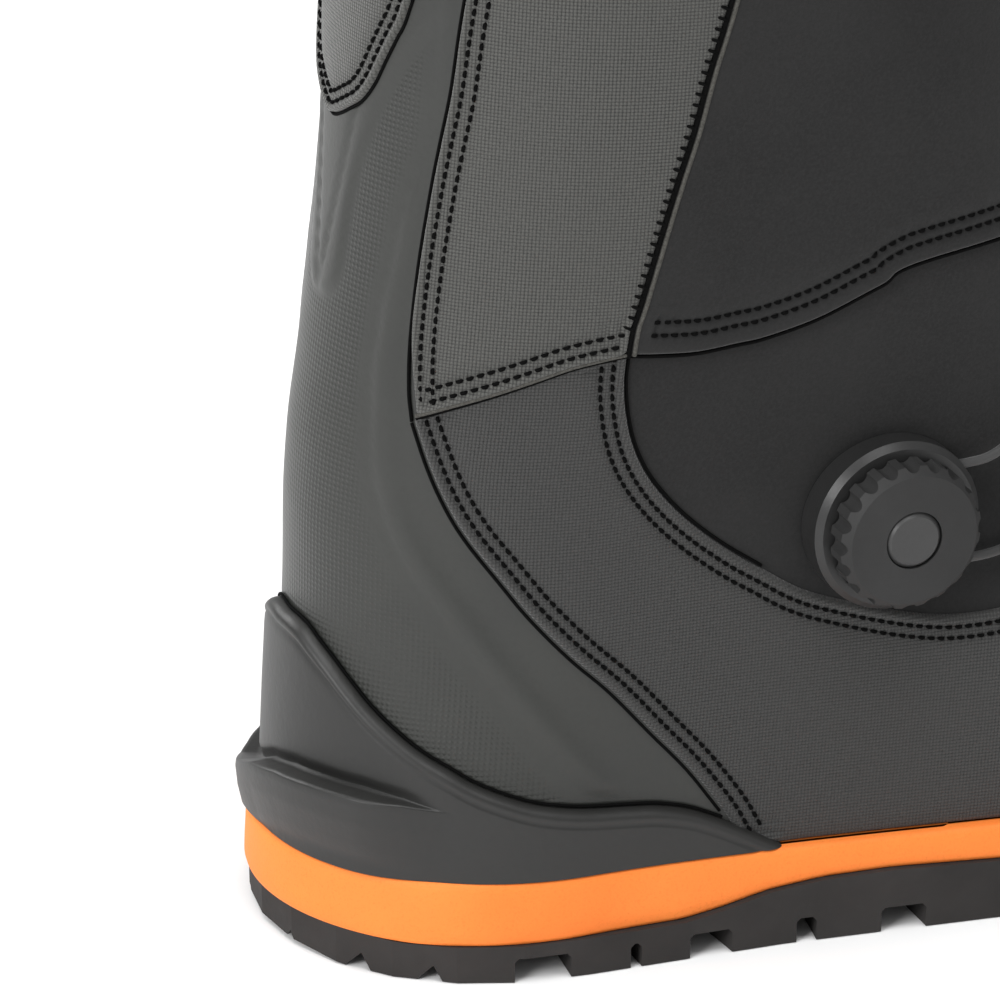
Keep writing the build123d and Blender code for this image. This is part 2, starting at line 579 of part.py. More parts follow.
def make_dial(name, centre, form):
    """Ratchet dial: seat, spool, ratchet ring, knob, centre cap and screw."""
    base = frame_of_dial(centre)
    inner = form[GAP + PANEL]
    seat = base * Pos(0, 0, -6) * Cylinder(SEAT_R, SEAT_H + 6, align=(Align.CENTER, Align.CENTER, Align.MIN))
    seat = chamfer(seat.edges().filter_by(GeomType.CIRCLE).group_by(Axis.Y)[0], 1.2)
    well = base * Pos(0, 0, 1.2) * Cylinder(SPOOL_R + 0.4, SEAT_H, align=(Align.CENTER, Align.CENTER, Align.MIN))
    screw_hole = base * Pos(0, 0, -10) * Cylinder(1.6, 20, align=(Align.CENTER, Align.CENTER, Align.MIN))
    mouths = Compound([base * Pos(0, sy * LACE_MOUTH, LACE_LIFT) * Box(80, 2.8, 2.8, align=(Align.MIN, Align.CENTER, Align.CENTER)) for sy in (-1, 1)])
    keep(f"{name}_dial_seat", solids_only(seat - form[GAP + PANEL + 0.1] - well - screw_hole - mouths))
    spool = Cylinder(SPOOL_R, SPOOL_H, align=(Align.CENTER, Align.CENTER, Align.MIN))
    waist = Cylinder(SPOOL_R + 1, 2.4, align=(Align.CENTER, Align.CENTER, Align.MIN)) - Cylinder(SPOOL_R - 2.4, 2.4, align=(Align.CENTER, Align.CENTER, Align.MIN))
    spool = spool - Pos(0, 0, 0.8) * waist - Cylinder(3.4, 20)
    keep(f"{name}_dial_spool", base * Pos(0, 0, 1.5) * spool)
    z_knob = SEAT_H + 0.4
    knob = Cylinder(DIAL_R, KNOB_H, align=(Align.CENTER, Align.CENTER, Align.MIN))
    knob = chamfer(knob.edges().group_by(Axis.Z)[-1], 1.6)
    for k in range(20):
        a = 2 * pi * k / 20
        knob = knob - Pos((DIAL_R + 0.6) * cos(a), (DIAL_R + 0.6) * sin(a), -1) * Cylinder(1.6, KNOB_H + 4, align=(Align.CENTER, Align.CENTER, Align.MIN))
    knob = knob - Cylinder(CAP_R + 0.15, 60)
    keep(f"{name}_dial_knob", base * Pos(0, 0, z_knob) * knob)
    cap = Pos(0, 0, z_knob + 0.4) * Cylinder(CAP_R, KNOB_H - 0.2, align=(Align.CENTER, Align.CENTER, Align.MIN))
    cap = chamfer(cap.edges().group_by(Axis.Z)[-1], 0.8)
    stem = Pos(0, 0, 2.6) * Cylinder(STEM_R, z_knob - 2.0, align=(Align.CENTER, Align.CENTER, Align.MIN))
    keep(f"{name}_dial_cap", base * (cap + stem))
    screw = Pos(0, 0, -2.5) * Cylinder(1.5, 4.2, align=(Align.CENTER, Align.CENTER, Align.MIN))
    head = Pos(0, 0, 1.25) * Cylinder(3.0, 1.1, align=(Align.CENTER, Align.CENTER, Align.MIN))
    keep(f"{name}_dial_screw", base * (screw + head))


def main():
    over = 2 * GAP + PANEL
    offsets = {
        0, -SHELL, GAP, GAP + PANEL, over, over + OVERLAY, GAP + PANEL + 0.1, GUIDE_OFF, GUIDE_OFF + 3.9, GUIDE_OFF + 3.4,
        -SHELL - 2 * GAP, -LINING_DEPTH, -0.8, -4.8, -5.0, -7.4, -SOCK_DEPTH, -SOCK_DEPTH - LINER,
        -LEG_DEPTH, -LEG_DEPTH - 4, -LEG_DEPTH - LINER_CUFF, 1.7, -3.0,
    }
    form = {off: body(off) for off in sorted(offsets)}
    make_sole()
    make_beds()
    low = make_lower(form)
    make_overlays(form, low)
    make_cuff(form)
    make_flex_zone(form)
    make_tongue(form)
    make_liner(form)
    make_loops(form)
    for name, centre in (("upper", UPPER_DIAL), ("lower", LOWER_DIAL)):
        make_dial(name, centre, form)
    upper, lower = [190, 213, 238, 261], [110, 130]
    bore = make_lace("upper", UPPER_DIAL, upper,
                     [(-0.20, 199, 5.8), (-0.16, 193, LACE_OFF)], [(-0.20, 240, 5.8), (-0.16, 254, LACE_OFF)])
    make_guides(form, "upper", upper, bore)
    bore = make_lace("lower", LOWER_DIAL, lower,
                     [(-0.36, 84, 4.4), (-0.27, 97, 4.4), (-0.18, 107, LACE_OFF)],
                     [(-0.36, 104, 4.4), (-0.27, 116, 4.4), (-0.18, 127, LACE_OFF)])
    make_guides(form, "lower", lower, bore)
    make_keeper(form, bore)
    os.makedirs("parts", exist_ok=True)
    for name, shape in NODES.items():
        shape.label = name
        export_step(shape, f"parts/{name}.step")
        print(name, len(shape.solids()), round(shape.volume / 1000, 2))


if __name__ == "__main__":
    main()
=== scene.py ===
import math

import bpy
import numpy as np
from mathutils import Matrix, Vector
from mathutils.geometry import delaunay_2d_cdt


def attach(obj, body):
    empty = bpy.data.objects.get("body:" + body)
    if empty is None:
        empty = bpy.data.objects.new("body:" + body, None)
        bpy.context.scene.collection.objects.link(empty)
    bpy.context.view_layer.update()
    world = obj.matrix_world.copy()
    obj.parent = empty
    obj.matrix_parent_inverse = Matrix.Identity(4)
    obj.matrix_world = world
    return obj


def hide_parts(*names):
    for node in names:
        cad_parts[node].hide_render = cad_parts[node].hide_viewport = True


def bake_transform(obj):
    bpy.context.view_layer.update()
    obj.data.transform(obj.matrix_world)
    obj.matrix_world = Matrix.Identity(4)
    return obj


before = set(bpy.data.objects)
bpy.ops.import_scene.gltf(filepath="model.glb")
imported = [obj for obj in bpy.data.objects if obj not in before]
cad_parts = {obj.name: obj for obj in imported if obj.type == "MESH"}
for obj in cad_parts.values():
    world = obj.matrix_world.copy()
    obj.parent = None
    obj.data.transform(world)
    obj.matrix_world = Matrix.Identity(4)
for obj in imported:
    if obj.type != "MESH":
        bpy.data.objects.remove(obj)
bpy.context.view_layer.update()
scene = bpy.context.scene

# ------------------------------------------------------------------ camera, floor and light
AIM = Vector((-0.0974, 0.0, 0.0801))
AZ, EL, FAR = math.radians(-22.1), math.radians(23.6), 1.3
SENSOR, VIEW_WIDTH = 36, 1.0 / 5.23
back = Vector((math.sin(AZ) * math.cos(EL), -math.cos(AZ) * math.cos(EL), math.sin(EL)))
cam = bpy.data.objects.new("camera", bpy.data.cameras.new("camera"))
scene.collection.objects.link(cam)
cam.location = AIM + back * FAR
cam.rotation_euler = (-back).to_track_quat("-Z", "Y").to_euler()
cam.data.sensor_width = SENSOR
cam.data.lens = SENSOR * FAR / VIEW_WIDTH
cam.data.clip_end = 50
scene.camera = cam
scene.view_settings.view_transform = "Standard"
scene.view_settings.look = "None"

world = bpy.data.worlds.new("studio")
scene.world = world
world.use_nodes = True
for k, value in enumerate(((1, 1, 1, 1), 0.34)):
    world.node_tree.nodes["Background"].inputs[k].default_value = value


def area(name, at, size, watts, aim=(-0.04, 0, 0.1)):
    light = bpy.data.lights.new(name, "AREA")
    light.shape, light.size, light.energy = "SQUARE", size, watts
    o = bpy.data.objects.new(name, light)
    scene.collection.objects.link(o)
    o.location = at
    o.rotation_euler = (Vector(at) - Vector(aim)).to_track_quat("Z", "Y").to_euler()


area("key", (-1.8, -0.9, 1.15), 0.9, 33)
area("top", (-0.1, -0.4, 2.0), 1.3, 30)
area("fill", (1.6, -1.3, 1.0), 1.6, 4)
area("rim", (-0.8, 1.5, 1.2), 1.0, 18)

# ------------------------------------------------------------------ the boot's form, in millimetres
# height, rear, front, heel depth, toe depth, half width at the heel, half width at the ball on either side
FORM = np.array([
    (8, -142, 148, 44, 96, 40, 53, 54),
    (24, -141, 148, 44, 96, 39.5, 53, 54),
    (45, -140, 150, 45, 96, 39, 52.5, 53.5),
    (60, -139.3, 146, 46, 94, 38.5, 50, 51),
    (72, -139, 134, 47, 90, 38.5, 47, 48),
    (84, -138.8, 114, 48, 84, 38.5, 44, 45),
    (98, -137.8, 90, 50, 80, 39.5, 42.5, 43),
    (115, -135.2, 67, 52, 74, 41.5, 43, 43.5),
    (135, -132.4, 46, 53, 68, 44, 45, 45),
    (160, -129.6, 30, 55, 63, 47, 48, 48),
    (190, -126.8, 24, 57, 61, 50, 51, 51),
    (230, -123.5, 25, 59, 61, 54, 54.5, 54.5),
    (300, -117.9, 32, 61, 62, 58, 58.5, 58.5),
])
HEEL_SHARE, TOE_SHARE, TOE_IN = 0.30, 0.68, 6.0


def smooth(t):
    t = np.clip(t, 0, 1)
    return t * t * (3 - 2 * t)


def slopes(x, y):
    h, d = np.diff(x), np.diff(y) / np.diff(x)
    m = np.empty(len(x))
    m[0], m[-1] = d[0], d[-1]
    for i in range(1, len(x) - 1):
        if d[i - 1] * d[i] <= 0:
            m[i] = 0
        else:
            a, b = 2 * h[i] + h[i - 1], h[i] + 2 * h[i - 1]
            m[i] = (a + b) / (a / d[i - 1] + b / d[i])
    return m


SLOPES = [slopes(FORM[:, 0], FORM[:, k]) for k in range(8)]


def column(k, z):
    z = np.clip(np.asarray(z, float), FORM[0, 0], FORM[-1, 0])
    x, y, m = FORM[:, 0], FORM[:, k], SLOPES[k]
    i = np.clip(np.searchsorted(x, z, side="right") - 1, 0, len(x) - 2)
    h = x[i + 1] - x[i]
    t = (z - x[i]) / h
    return ((2 * t**3 - 3 * t**2 + 1) * y[i] + (t**3 - 2 * t**2 + t) * h * m[i]
            + (3 * t**2 - 2 * t**3) * y[i + 1] + (t**3 - t**2) * h * m[i + 1])


def swing(x):
    return TOE_IN * smooth((x - 10) / 140)


def at_share(u, z, side, rear_off=0.0, side_off=0.0):
    """Points on the contours at heights z: u runs 0 to 1 from heel to toe."""
    rear, front, heel, toe, hw, lat, med = (column(k, z) for k in range(1, 8))
    rear, front, heel, toe = rear - rear_off, front + rear_off, heel + rear_off, toe + rear_off
    hw, ball = hw + side_off, np.where(np.asarray(side) < 0, lat, med) + side_off
    x0, x1 = rear + heel, front - toe
    u = np.asarray(u, float)
    a = np.clip(u / HEEL_SHARE, 0, 1) * np.pi / 2
    b = np.clip((u - TOE_SHARE) / (1 - TOE_SHARE), 0, 1) * np.pi / 2
    c = np.clip((u - HEEL_SHARE) / (TOE_SHARE - HEEL_SHARE), 0, 1)
    x = np.where(u < HEEL_SHARE, rear + heel * (1 - np.cos(a)),
                 np.where(u > TOE_SHARE, x1 + toe * np.sin(b), x0 + (x1 - x0) * c))
    w = np.where(u < HEEL_SHARE, hw * np.sin(a),
                 np.where(u > TOE_SHARE, ball * np.cos(b), hw + (ball - hw) * smooth(c)))
    return np.stack(np.broadcast_arrays(x, side * w + swing(x), np.asarray(z, float)), -1)


Z0, Z1 = 10, 330
LEVELS = np.arange(Z0, Z1 + 1.0)
US = np.linspace(0, 1, 361)
ARC, XROW = {}, {}
for sd in (-1, 1):
    pts = np.stack([at_share(US, np.full(US.shape, z), sd) for z in LEVELS])
    step = np.linalg.norm(np.diff(pts, axis=1), axis=2)
    ARC[sd] = np.concatenate([np.zeros((len(LEVELS), 1)), np.cumsum(step, 1)], 1)
    XROW[sd] = pts[:, :, 0]


def rows_at(table, z):
    k = np.clip(z - Z0, 0, len(LEVELS) - 1.001)
    i = np.floor(k).astype(int)
    t = (k - i)[..., None]
    return table[i] * (1 - t) + table[i + 1] * t


def reach(z, side=-1):
    """Length round the boot from the back to the front at height z."""
    z = np.atleast_1d(np.asarray(z, float))
    return rows_at(ARC[side], z)[:, -1]


def shares(s, z):
    """Share u for signed lengths s from the back (lateral is positive)."""
    s, z = np.broadcast_arrays(np.asarray(s, float), np.asarray(z, float))
    out = np.empty(s.shape)
    for sd, pick in ((-1, s >= 0), (1, s < 0)):
        rows = rows_at(ARC[sd], z[pick])
        out[pick] = [np.interp(a, row, US) for a, row in zip(np.abs(s[pick]), rows)]
    return out


def base(s, z):
    side = np.where(np.asarray(s) >= 0, -1, 1)
    return at_share(shares(s, z), z, side)


def skin(s, z, off):
    """Points at off millimetres over the form, square to it, at lengths s round it and heights z."""
    s, z, off = (np.asarray(v, float).ravel() for v in np.broadcast_arrays(s, z, off))
    side = np.where(s >= 0, -1, 1)
    u = shares(s, z)
    p = at_share(u, z, side)
    e = 0.004
    # past the ends of a half contour the other half goes on
    pa = at_share(np.abs(u - e), z, np.where(u - e < 0, -side, side))
    over = u + e > 1
    pb = at_share(np.where(over, 2 - (u + e), u + e), z, np.where(over, -side, side))
    du = (pb - pa) * np.where(side < 0, 1, -1)[:, None]
    h = 2.0
    dz = at_share(u, np.minimum(z + h, 300), side) - at_share(u, np.minimum(z - h, 300 - 2 * h), side)
    n = np.cross(du, dz)
    n /= np.linalg.norm(n, axis=1)[:, None]
    return p + n * off[:, None]


def front(f, z):
    """Signed length s for a length f from the front centre line (lateral is negative)."""
    f, z = np.broadcast_arrays(np.asarray(f, float), np.asarray(z, float))
    f, z = f.ravel(), z.ravel()
    h = np.where(f <= 0, reach(z, -1), reach(z, 1))
    return np.where(f <= 0, h - np.abs(f), -(h - np.abs(f)))


def s_of_x(x, z):
    """Length from the back of a side view point."""
    row_x, row_s = rows_at(XROW[-1], np.array([z]))[0], rows_at(ARC[-1], np.array([z]))[0]
    return float(np.interp(x, row_x, row_s))


def line_at(points, x):
    return np.interp(x, [p[0] for p in points], [p[1] for p in points])


FEATHER = [(-175, 20.8), (-100, 20.0), (-60, 19.4), (20, 18.5), (120, 19), (190, 20.6)]
SOLE_LINE = [(-175, 8.3), (-148, 8.2), (-130, 7.4), (-98, 7.7), (-78, 7.8), (-70, 9.2), (-61, 11.4),
             (-50, 12.7), (-36, 13), (-10, 12), (16, 9), (44, 8), (110, 8), (136, 9.5), (190, 12.5)]


def throat(z):
    """Half width of the lacing throat."""
    return np.interp(z, [100, 104, 112, 320], [6, 15, 19, 27])


def collar(x):
    return 270 + (x + 120) * 22 / 150


# ------------------------------------------------------------------ making pieces
BLEND = ((-0.082, 0, 0.109), (-0.0907, 0, 0.1439))


def place(o, how):
    if how == "soft":
        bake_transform(o)
    elif isinstance(how, tuple):
        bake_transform(o)
    else:
        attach(o, how)


def mesh_piece(name, points, faces, material, how, uv=None, replaces=(), masks=None):
    """A Blender object from points in millimetres."""
    mesh = bpy.data.meshes.new(name)
    mesh.from_pydata([tuple(p) for p in np.asarray(points) / 1000.0], [],
                     [tuple(int(i) for i in f) for f in faces])
    if uv is not None:
        layer = mesh.uv_layers.new(name="cloth")
        loops = np.empty(len(mesh.loops), int)
        mesh.loops.foreach_get("vertex_index", loops)
        layer.data.foreach_set("uv", np.asarray(uv, np.float32)[loops].ravel())
    for key, values in (masks or {}).items():
        mesh.attributes.new(key, "FLOAT", "POINT").data.foreach_set("value", np.asarray(values, np.float32))
    mesh.validate()
    mesh.materials.append(material)
    mesh.shade_smooth()
    o = bpy.data.objects.new(name, mesh)
    scene.collection.objects.link(o)
    place(o, how)
    if replaces:
        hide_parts(*replaces)
    return o


def quads(rows, cols, wrap=False, flip=False, first=0):
    """Faces of a grid of points that are listed row after row."""
    faces = []
    for k in range(rows - 1):
        for i in range(cols if wrap else cols - 1):
            a, b = first + k * cols + i, first + k * cols + (i + 1) % cols
            faces.append((a, a + cols, b + cols, b) if flip else (a, b, b + cols, a + cols))
    return faces


def closed_tube(rows, cols, first=0):
    """Faces of a row of rings, with both ends closed."""
    last = first + (rows - 1) * cols
    ends = [tuple(range(first, first + cols))[::-1], tuple(range(last, last + cols))]
    return quads(rows, cols, True, first=first) + ends


def slab(rows, cols, sides=True):
    """Faces of two equal grids of points, one under the other, closed along their edges."""
    m = rows * cols
    faces = quads(rows, cols)
    faces += [tuple(i + m for i in f[::-1]) for f in faces]
    for i in range(cols - 1):
        a = m - cols + i
        faces += [(i + 1, i, i + m, i + 1 + m), (a, a + 1, a + 1 + m, a + m)]
    for a in range(0, m - cols if sides else 0, cols):
        b, c, d = a + cols, a + cols - 1, a + 2 * cols - 1
        faces += [(a, b, b + m, a + m), (d, c, c + m, d + m)]
    return faces


def run_along(q):
    """Length from the start at each point of a line."""
    return np.concatenate([[0], np.cumsum(np.linalg.norm(np.diff(q, axis=0), axis=1))])


def unit(v):
    return v / np.linalg.norm(v, axis=1)[:, None]


def spline(points, step=1.2):
    """Even points on a smooth line through the given ones."""
    p = np.asarray(points, float)
    if len(p) == 2:
        n = max(int(np.linalg.norm(p[1] - p[0]) / step), 1)
        return p[0] + (p[1] - p[0]) * np.linspace(0, 1, n + 1)[:, None]
    ext = np.vstack([2 * p[0] - p[1], p, 2 * p[-1] - p[-2]])
    t = np.linspace(0, 1, 25)[:-1, None]
    out = []
    for a, b, c, d in zip(ext, ext[1:], ext[2:], ext[3:]):
        bend = (2 * a - 5 * b + 4 * c - d) * t**2 + (3 * b - a - 3 * c + d) * t**3
        out.append(0.5 * (2 * b + (c - a) * t + bend))
    out = np.vstack(out + [p[-1:]])
    run = run_along(out)
    even = np.linspace(0, run[-1], max(int(run[-1] / step), 2) + 1)
    return np.stack([np.interp(even, run, out[:, k]) for k in range(out.shape[1])], 1)


def outline(*chains, step=1.2):
    """A closed outline from smooth chains that meet at corners."""
    parts = []
    for chain, after in zip(chains, chains[1:] + chains[:1]):
        q = spline(chain, step)
        parts.append(q[:-1] if np.allclose(q[-1], np.asarray(after[0], float)) else q)
    return np.vstack(parts)


def signed_area(p):
    q = np.roll(p, -1, 0)
    return 0.5 * np.sum(p[:, 0] * q[:, 1] - q[:, 0] * p[:, 1])


def line_gap(p, q, closed=False):
    """Distance of points from a line of short runs, or from a closed outline."""
    a, b = (q, np.roll(q, -1, 0)) if closed else (q[:-1], q[1:])
    d = b - a
    l2 = np.maximum((d**2).sum(1), 1e-9)
    out = []
    for r in np.array_split(p[:, None, :], len(p) // 1500 + 1):
        t = np.clip(((r - a) * d).sum(2) / l2, 0, 1)
        out.append(np.sqrt(((r - a - t[..., None] * d) ** 2).sum(2)).min(1))
    return np.concatenate(out)


def inside(points, ring):
    a, b = ring, np.roll(ring, -1, 0)
    slope = (b - a)[:, 0] / np.where(b - a == 0, 1e-9, b - a)[:, 1]
    out = []
    for p in np.array_split(points[:, None], len(points) // 1500 + 1):
        crossed = (a[:, 1] > p[..., 1]) != (b[:, 1] > p[..., 1])
        x = a[:, 0] + (p[..., 1] - a[:, 1]) * slope
        out.append((crossed & (p[..., 0] < x)).sum(1) % 2 == 1)
    return np.concatenate(out)


def fill(ring, rings, grid):
    """Triangles over an outline, with rows of points along its edge and an even grid inside."""
    if signed_area(ring) < 0:
        ring = ring[::-1]
    tangent = unit(np.roll(ring, -1, 0) - np.roll(ring, 1, 0))
    normal = np.stack([-tangent[:, 1], tangent[:, 0]], 1)
    points = [ring]
    for d in rings:
        q = ring + normal * d
        far = line_gap(q, ring, True)
        points.append(q[(far > d * 0.93) & inside(q, ring)])
    lo, hi = ring.min(0), ring.max(0)
    gx, gy = np.meshgrid(np.arange(lo[0], hi[0], grid), np.arange(lo[1], hi[1], grid * 0.866))
    gx[1::2] += grid / 2
    g = np.stack([gx.ravel(), gy.ravel()], 1)
    g = g[inside(g, ring)]
    last = rings[-1] if rings else 0
    g = g[line_gap(g, ring, True) > last + grid * 0.5] if len(g) else g
    pts = np.vstack(points + [g])
    n = len(ring)
    verts, _, faces, _, _, _ = delaunay_2d_cdt([Vector(p) for p in pts], [(i, (i + 1) % n) for i in range(n)],
                                               [], 1, 1e-4)
    verts = np.array([tuple(v) for v in verts])
    return verts, [tuple(f) for f in faces], line_gap(verts, ring, True)


def to_s(p, mode):
    return p[:, 0] if mode == "back" else front(p[:, 0], p[:, 1])


def panel(name, ring, material, how, low, high, mode="back", grid=3.0, grooves=(), replaces=(),
          relief=None, roll=0.9, masks=None, sewn=()):
    """A sewn panel: its edge sits at low over the form and rolls up to high.

    A groove is pressed in along each row of stitches.
    """
    rings = sorted({0.12, 0.35, 0.7, 1.2} | {round(g + d, 2) for g in grooves for d in (-0.7, 0, 0.7)})
    p, faces, dist = fill(ring, rings, grid)
    t = np.clip(dist / roll, 0, 1)
    off = low + (high - low) * np.sqrt(1 - (1 - t) ** 2)
    near = np.ones(len(p))
    if sewn:
        near = smooth((9.0 - np.min([line_gap(np.abs(p * (1, 0)) + p * (0, 1), spline(line, 0.8))
                                     for line in sewn], 0)) / 1.5)
    for g in grooves:
        off = off - 0.46 * near * np.exp(-((dist - g) / 0.62) ** 2)
    if grooves:
        off = off + 0.38 * near * np.exp(-((dist - (grooves[0] - 1.3)) / 0.6) ** 2)
    if relief is not None:
        off = off + relief(p, dist)
    s = to_s(p, mode)
    q = skin(s, p[:, 1], off)
    # the rim mask carries the painted highlight along the rolled edge
    return mesh_piece(name, q, faces, material, how, uv=p / 10.0, replaces=replaces,
                      masks={"rim": np.clip(1 - dist / 1.6, 0, 1), **(masks(p, dist) if masks else {})})


def pad(name, ring, material, how, middle, half, mode="back", grid=5.0, rounding=4.0, replaces=(),
        crown=0.0):
    """A closed soft form of even thickness with round edges."""
    rings = [rounding * k for k in (0.06, 0.2, 0.42, 0.7, 1.0)]
    p, faces, dist = fill(ring, rings, grid)
    t = np.clip(dist / rounding, 0, 1)
    swell = half * np.sqrt(1 - (1 - t) ** 2)
    s = to_s(p, mode)
    mid = middle(p) if callable(middle) else middle
    outer = skin(s, p[:, 1], mid + swell + crown * np.clip(dist / 18, 0, 1))
    rim = dist < 1e-3
    index = np.full(len(p), -1)
    index[rim] = np.flatnonzero(rim)
    index[~rim] = len(p) + np.arange((~rim).sum())
    inner = skin(s, p[:, 1], mid - swell)[~rim]
    shell = list(faces) + [tuple(index[i] for i in f[::-1]) for f in faces]
    uv = np.vstack([p, p[~rim]]) / 10.0
    piece = mesh_piece(name, np.vstack([outer, inner]), shell, material, how, uv=uv, replaces=replaces)
    return piece


# ------------------------------------------------------------------ stitches
def stitches(name, rows, how, pitch=2.0, length=1.5, r=0.4):
    """Rows of thread. Each row is (points in length and height, offset over the form)."""
    share = np.array([0, 0.18, 0.5, 0.82, 1.0])
    bow = np.array([-0.4, 0.0, 0.14, 0.0, -0.4])
    thick = (r * np.array([0.35, 0.9, 1.0, 0.9, 0.35]))[:, None, None]
    angle = (np.pi / 3 * np.arange(6))[:, None]
    verts, faces = [], []
    for line, off in rows:
        q = spline(line, 0.3)
        run = run_along(q)
        for start in np.arange(0.3, run[-1] - length, pitch):
            s, z = (np.interp(start + share * length, run, q[:, k]) for k in (0, 1))
            mid = skin(s, z, off + bow)
            up = skin(s, z, off + bow + 1.0) - mid
            side = unit(np.cross(np.gradient(mid, axis=0), up))
            rings = mid[:, None] + thick * (side[:, None] * np.cos(angle) + up[:, None] * 0.8 * np.sin(angle))
            faces += closed_tube(5, 6, len(verts))
            verts += list(rings.reshape(-1, 3))
    return mesh_piece(name, np.array(verts), faces, M_THREAD_AND_SHADOW, how)


def inset(line, d, left=True):
    """A line moved sideways by d."""
    q = spline(line, 1.0)
    t = unit(np.gradient(q, axis=0))
    n = np.stack([-t[:, 1], t[:, 0]], 1) * (1 if left else -1)
    return (q + n * d)[::3]


# ------------------------------------------------------------------ materials
class Nodes:
    """Small helper for building a shader."""

    def __init__(self, name, color, rough=0.6, **sockets):
        self.material = bpy.data.materials.new(name)
        self.material.use_nodes = True
        self.tree = self.material.node_tree
        self.shader = self.tree.nodes["Principled BSDF"]
        self.set("Base Color", (*color, 1))
        self.set("Roughness", rough)
        for key, value in sockets.items():
            self.set(key.replace("_", " "), value)

    def set(self, socket, value):
        self.shader.inputs[socket].default_value = value

    def add(self, kind, **values):
        n = self.tree.nodes.new(kind)
        for key, value in values.items():
            setattr(n, key, value)
        return n

    def link(self, a, b):
        self.tree.links.new(a, b)

    def math(self, op, a, b=0.0, c=0.0):
        n = self.add("ShaderNodeMath", operation=op)
        for i, v in enumerate((a, b, c)):
            if isinstance(v, (int, float)):
                n.inputs[i].default_value = v
            else:
                self.link(v, n.inputs[i])
        return n.outputs[0]

    def mul(self, a, b):
        return self.math("MULTIPLY", a, b)

    def sine(self, a):
        return self.math("SINE", a)

    def noise(self, scale, detail=4.0, rough=0.55, kind="ShaderNodeTexNoise"):
        n = self.add(kind)
        n.inputs["Scale"].default_value = scale
        if kind == "ShaderNodeTexNoise":
            n.inputs["Detail"].default_value = detail
            n.inputs["Roughness"].default_value = rough
        self.link(self.object(), n.inputs["Vector"])
        return n.outputs[0]

    def object(self):
        if not hasattr(self, "_object"):
            self._object = self.add("ShaderNodeTexCoord").outputs["Object"]
        return self._object

    def cloth(self):
        if not hasattr(self, "_cloth"):
            n = self.add("ShaderNodeUVMap", uv_map="cloth")
            split = self.add("ShaderNodeSeparateXYZ")
            self.link(n.outputs[0], split.inputs[0])
            self._cloth = split.outputs[0], split.outputs[1]
        return self._cloth

    def waves(self, pitch):
        """Angles along the cloth's length and height, a full turn for each pitch in millimetres."""
        return [self.mul(w, 10 / pitch * 2 * math.pi) for w in self.cloth()]

    def diamonds(self, pitch):
        u, v = self.waves(pitch)
        return self.mul(self.sine(self.math("ADD", u, v)), self.sine(self.math("SUBTRACT", u, v)))

    def mask(self, name):
        return self.add("ShaderNodeAttribute", attribute_name=name).outputs["Fac"]

    def mix(self, fac, a, b):
        n = self.add("ShaderNodeMix", data_type="RGBA")
        for i, v in ((6, a), (7, b)):
            if isinstance(v, tuple):
                n.inputs[i].default_value = (*v, 1)
            else:
                self.link(v, n.inputs[i])
        if isinstance(fac, (int, float)):
            n.inputs[0].default_value = fac
        else:
            self.link(fac, n.inputs[0])
        return n.outputs[2]

    def ramp(self, value, lo, hi, a=0.0, b=1.0):
        n = self.add("ShaderNodeMapRange")
        self.link(value, n.inputs[0])
        for i, v in enumerate((lo, hi, a, b)):
            n.inputs[i + 1].default_value = v
        return n.outputs[0]

    def bump(self, height, distance, strength=1.0, under=None):
        n = self.add("ShaderNodeBump")
        n.inputs["Distance"].default_value = distance / 1000
        n.inputs["Strength"].default_value = strength
        self.link(height, n.inputs["Height"])
        if under is not None:
            self.link(under, n.inputs["Normal"])
        return n.outputs[0]

    def touch(self, c, value, lo, hi, most, other):
        """The colour with up to most of another mixed in where value is high."""
        return self.mix(self.ramp(value, lo, hi, 0.0, most), c, other)

    def paint_edge_highlight(self, c, share, other):
        """Painted highlight along a piece's rolled edge: the colour changed there by the rim mask."""
        return self.mix(self.mul(self.mask("rim"), share), c, other)

    def done(self, color=None, normal=None, rough=None):
        for socket, value in (("Base Color", color), ("Roughness", rough), ("Normal", normal)):
            if value is not None:
                self.link(value, self.shader.inputs[socket])
        return self.material


def lin(r, g=None, b=None):
    """sRGB 0-255 to linear; one number is a grey."""
    shares = (v / 255 for v in (r, r if g is None else g, r if b is None else b))
    return tuple(v / 12.92 if v <= 0.04045 else ((v + 0.055) / 1.055) ** 2.4 for v in shares)


def tint(color, k):
    return tuple(min(x * k, 1) for x in color)


def woven(name, light, dark, pitch=0.8, rough=0.62, depth=0.16, sheen=0.25, wear=0.10):
    """Plain weave in the cloth's own length and height."""
    m = Nodes(name, light, rough, Sheen_Weight=sheen, Sheen_Roughness=0.45, Specular_IOR_Level=0.35)
    cells = [m.mul(w, 10.0 / pitch) for w in m.cloth()]
    nu, nv = (m.math("ABSOLUTE", m.math("FLOOR", c)) for c in cells)
    su, sv = (m.sine(m.mul(m.math("FRACT", c), math.pi)) for c in cells)
    odd = m.math("MODULO", m.math("ADD", nu, nv), 2.0)
    warp = m.mul(m.math("POWER", su, 0.5), m.math("ADD", 0.35, m.mul(sv, 0.65)))
    weft = m.mul(m.math("POWER", sv, 0.5), m.math("ADD", 0.35, m.mul(su, 0.65)))
    height = m.math("ADD", m.mul(odd, warp), m.mul(m.math("SUBTRACT", 1.0, odd), weft))
    blotch = m.noise(38, 3)
    fibre = m.noise(2600, 2)
    c = m.mix(m.ramp(height, 0.25, 0.85), dark, light)
    c = m.touch(c, blotch, 0.35, 0.7, wear * 2, tint(light, 0.72))
    c = m.touch(c, fibre, 0.4, 0.75, 0.30, tint(light, 1.5))
    # painted highlight: lighter along the rolled edges
    c = m.paint_edge_highlight(c, 0.35, tint(light, 1.35))
    return m.done(c, m.bump(fibre, 0.03, 0.5, m.bump(height, depth)),
                  m.ramp(height, 0, 1, rough + 0.12, rough - 0.08))


